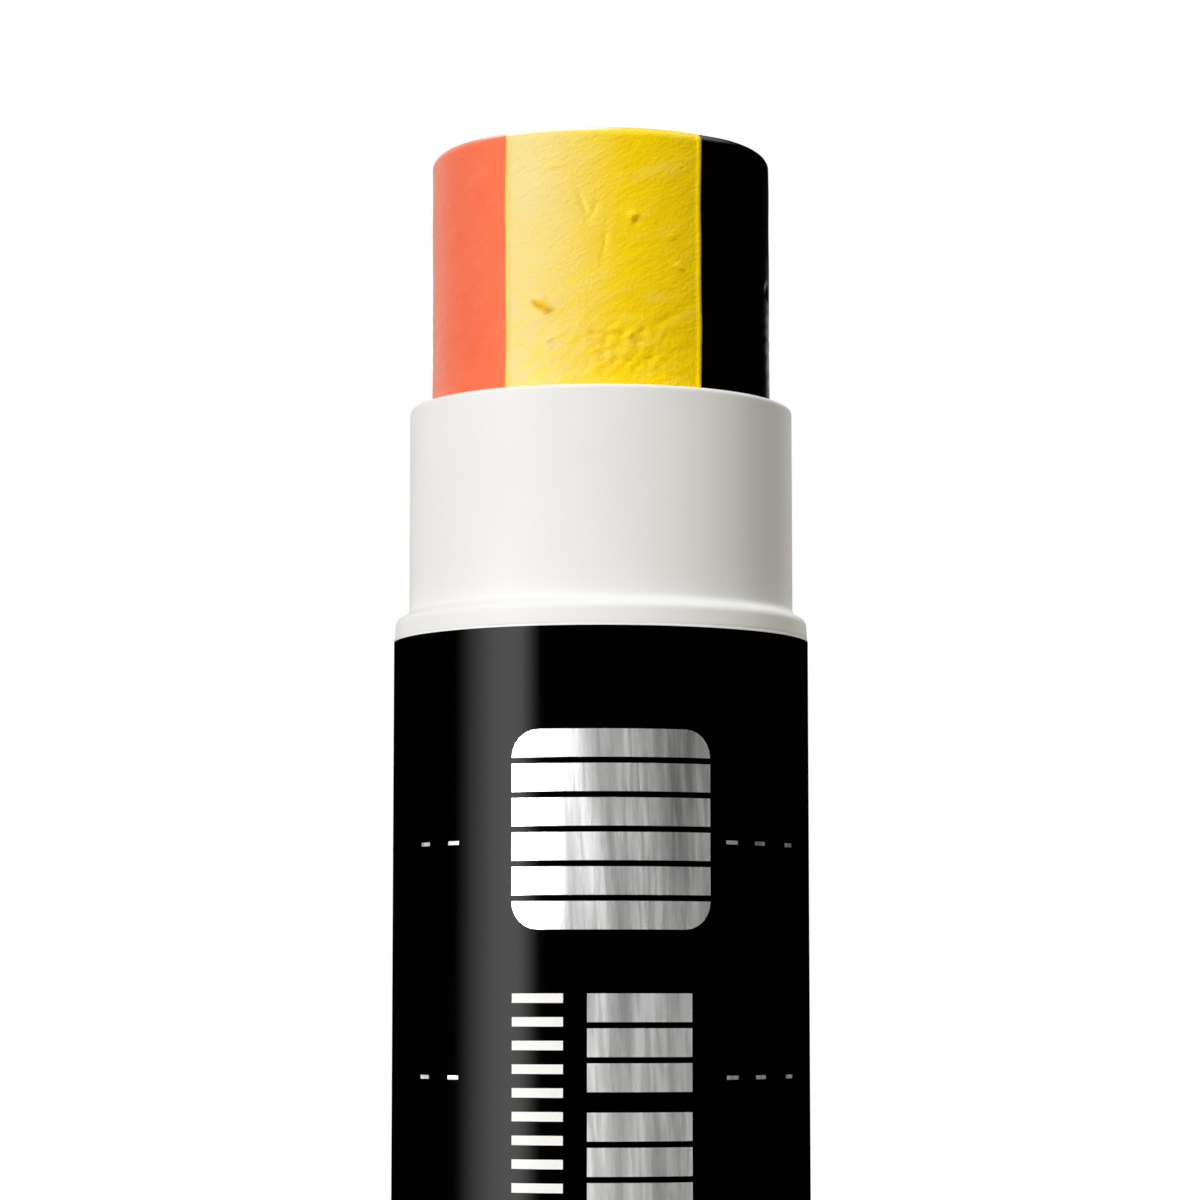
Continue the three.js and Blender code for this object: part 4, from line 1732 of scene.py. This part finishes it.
@dataclass
class Studio:
    """Floor, surroundings, lamps and camera. None of it belongs to the marker."""

    floor_radius: float = 0.9
    floor_middle: float = 0.02
    floor_columns: int = 96
    floor_shown: float = 0.1
    floor_fade: float = 0.28
    floor_colour: Colour = grey(0.86)
    wall_radius: float = 0.42
    wall_foot: float = -0.02
    wall_top: float = 0.5
    wall_columns: int = 180
    ambient: Colour = (0.245, 0.222, 0.185)
    white: Colour = grey(1.0)
    cards: tuple[Card, ...] = (
        Card(-87, -50, -47, -32, strength=14.0),
        Card(151, 163, 175, 179, strength=0.5, foot=0.155, top=0.195),
    )
    camera_distance: float = 0.19
    camera_height: float = 0.08106
    camera_aside: float = -0.000045
    camera_pitch: float = 5.872
    lens: float = 118.23
    lamps: tuple[Lamp, ...] = (
        Lamp(
            "key", azimuth=-31, elevation=14, distance=0.75, size=0.3, light=0.82,
            colour=(0.985, 0.995, 1.0),
        ),
        Lamp(
            "top", azimuth=95, elevation=76, distance=0.7, size=0.4, light=0.6,
            colour=(0.93, 0.97, 1.0), mirrored=True,
        ),
        Lamp("back_right", azimuth=150, elevation=12, distance=0.7, size=0.35, light=0.55),
        Lamp("back_left", azimuth=-140, elevation=12, distance=0.7, size=0.35, light=0.32),
    )

    def world(self) -> None:
        """White for the camera and for reflections, and a soft warm light for the rest."""
        world = bpy.data.worlds.new("studio_world")
        bpy.context.scene.world = world
        world.use_nodes = True
        nodes = Nodes(world.node_tree)
        nodes.tree.nodes.clear()
        path = nodes.node("ShaderNodeLightPath").outputs
        kinds = ("Camera", "Glossy", "Transmission")
        seen = nodes.reckon("MAXIMUM", *(path[f"Is {kind} Ray"] for kind in kinds))
        soft, white = (
            nodes.node("ShaderNodeBackground", {"Color": (*colour, 1.0)}).outputs[0]
            for colour in (self.ambient, self.white)
        )
        nodes.node("ShaderNodeOutputWorld", {0: nodes.mix(seen, soft, white)})

    def band(self, name: str, edges: tuple[Pair, Pair], columns: int, capped: bool) -> Mesh:
        """A round band between two rings.

        Args:
            name: Name of the mesh.
            edges: Radius and height of each ring in metres.
            columns: Places in a ring.
            capped: True where a face fills the second ring.

        Returns:
            The mesh.
        """
        azimuths = even_azimuths(columns)
        rings = np.stack([around(radius / MM, height / MM, azimuths) for radius, height in edges])
        low, high = np.arange(2 * columns).reshape(2, columns)
        faces = np.stack([low, np.roll(low, -1), np.roll(high, -1), high], axis=-1).tolist()
        if capped:
            faces.append(high.tolist())
        mesh = bpy.data.meshes.new(name)
        mesh.from_pydata(rings.reshape(-1, 3).tolist(), [], faces)
        return mesh

    def floor(self) -> None:
        """A pale floor that keeps the marker's shadow and fades into the white round it."""
        recipe = Recipe("floor")
        recipe.set(Base_Color=(*self.floor_colour, 1.0), Roughness=0.9, Specular_IOR_Level=0.1)
        far = recipe.span(recipe.length(recipe.fixed()), self.floor_shown, self.floor_fade)
        seen = recipe.node("ShaderNodeLightPath").outputs["Is Camera Ray"]
        recipe.show(recipe.mix(recipe.times(far, seen), recipe.shader.outputs[0], recipe.glow(1.0)))
        edges = ((self.floor_radius, 0.0), (self.floor_middle, 0.0))
        mesh = self.band("floor", edges, self.floor_columns, capped=True)
        self.add_stage(mesh, recipe.material).visible_diffuse = False

    def reflection_wall(self) -> None:
        """A round wall that only reflections see: black, with bright cards."""
        recipe = Recipe("reflection_wall")
        x, y, z = recipe.axes(recipe.fixed())
        turn = recipe.reckon("ARCTAN2", x, recipe.times(y, -1.0))
        degrees = recipe.times(turn, math.degrees(1.0))
        lights = [card.light(recipe, degrees, z) for card in self.cards]
        recipe.show(recipe.glow(recipe.plus(*lights)))
        edges = ((self.wall_radius, self.wall_foot), (self.wall_radius, self.wall_top))
        mesh = self.band("reflection_wall", edges, self.wall_columns, capped=False)
        wall = self.add_stage(mesh, recipe.material)
        wall.visible_camera = False
        wall.visible_diffuse = False
        wall.visible_shadow = False
        wall.visible_transmission = False

    def add_stage(self, mesh: Mesh, material: Material) -> Thing:
        """Adds an object that isn't part of the marker.

        Args:
            mesh: Its mesh.
            material: Its material.

        Returns:
            The object.
        """
        mesh.materials.append(material)
        item = placed(mesh.name, mesh)
        return item

    def camera(self) -> None:
        """The camera, low in front of the marker and pitched up to its top."""
        data = bpy.data.cameras.new("camera")
        data.lens = self.lens
        camera = placed("camera", data)
        camera.location = (self.camera_aside, -self.camera_distance, self.camera_height)
        camera.rotation_euler = (math.radians(90 + self.camera_pitch), 0, 0)
        bpy.context.scene.camera = camera

    def build(self) -> None:
        """Builds the studio."""
        self.camera()
        self.world()
        self.floor()
        self.reflection_wall()
        for lamp in self.lamps:
            lamp.build()
        bpy.context.scene.view_settings.view_transform = "Standard"
        LOG.info("studio: %d lamps", len(self.lamps))


def main() -> None:
    """Builds the marker round its solids, then the studio."""
    logging.basicConfig(level=logging.INFO, format="%(name)s: %(message)s")
    solids = Solids.measured()
    heights = solids.label_foot, solids.label_top, solids.stick_top
    LOG.info("label %.2f to %.2f mm, stick to %.2f mm", *heights)
    Barrel(solids).build()
    Label(solids).build()
    PaintStick(solids).build()
    Knob(solids).build()
    Studio().build()


if __name__ == "__main__":
    main()
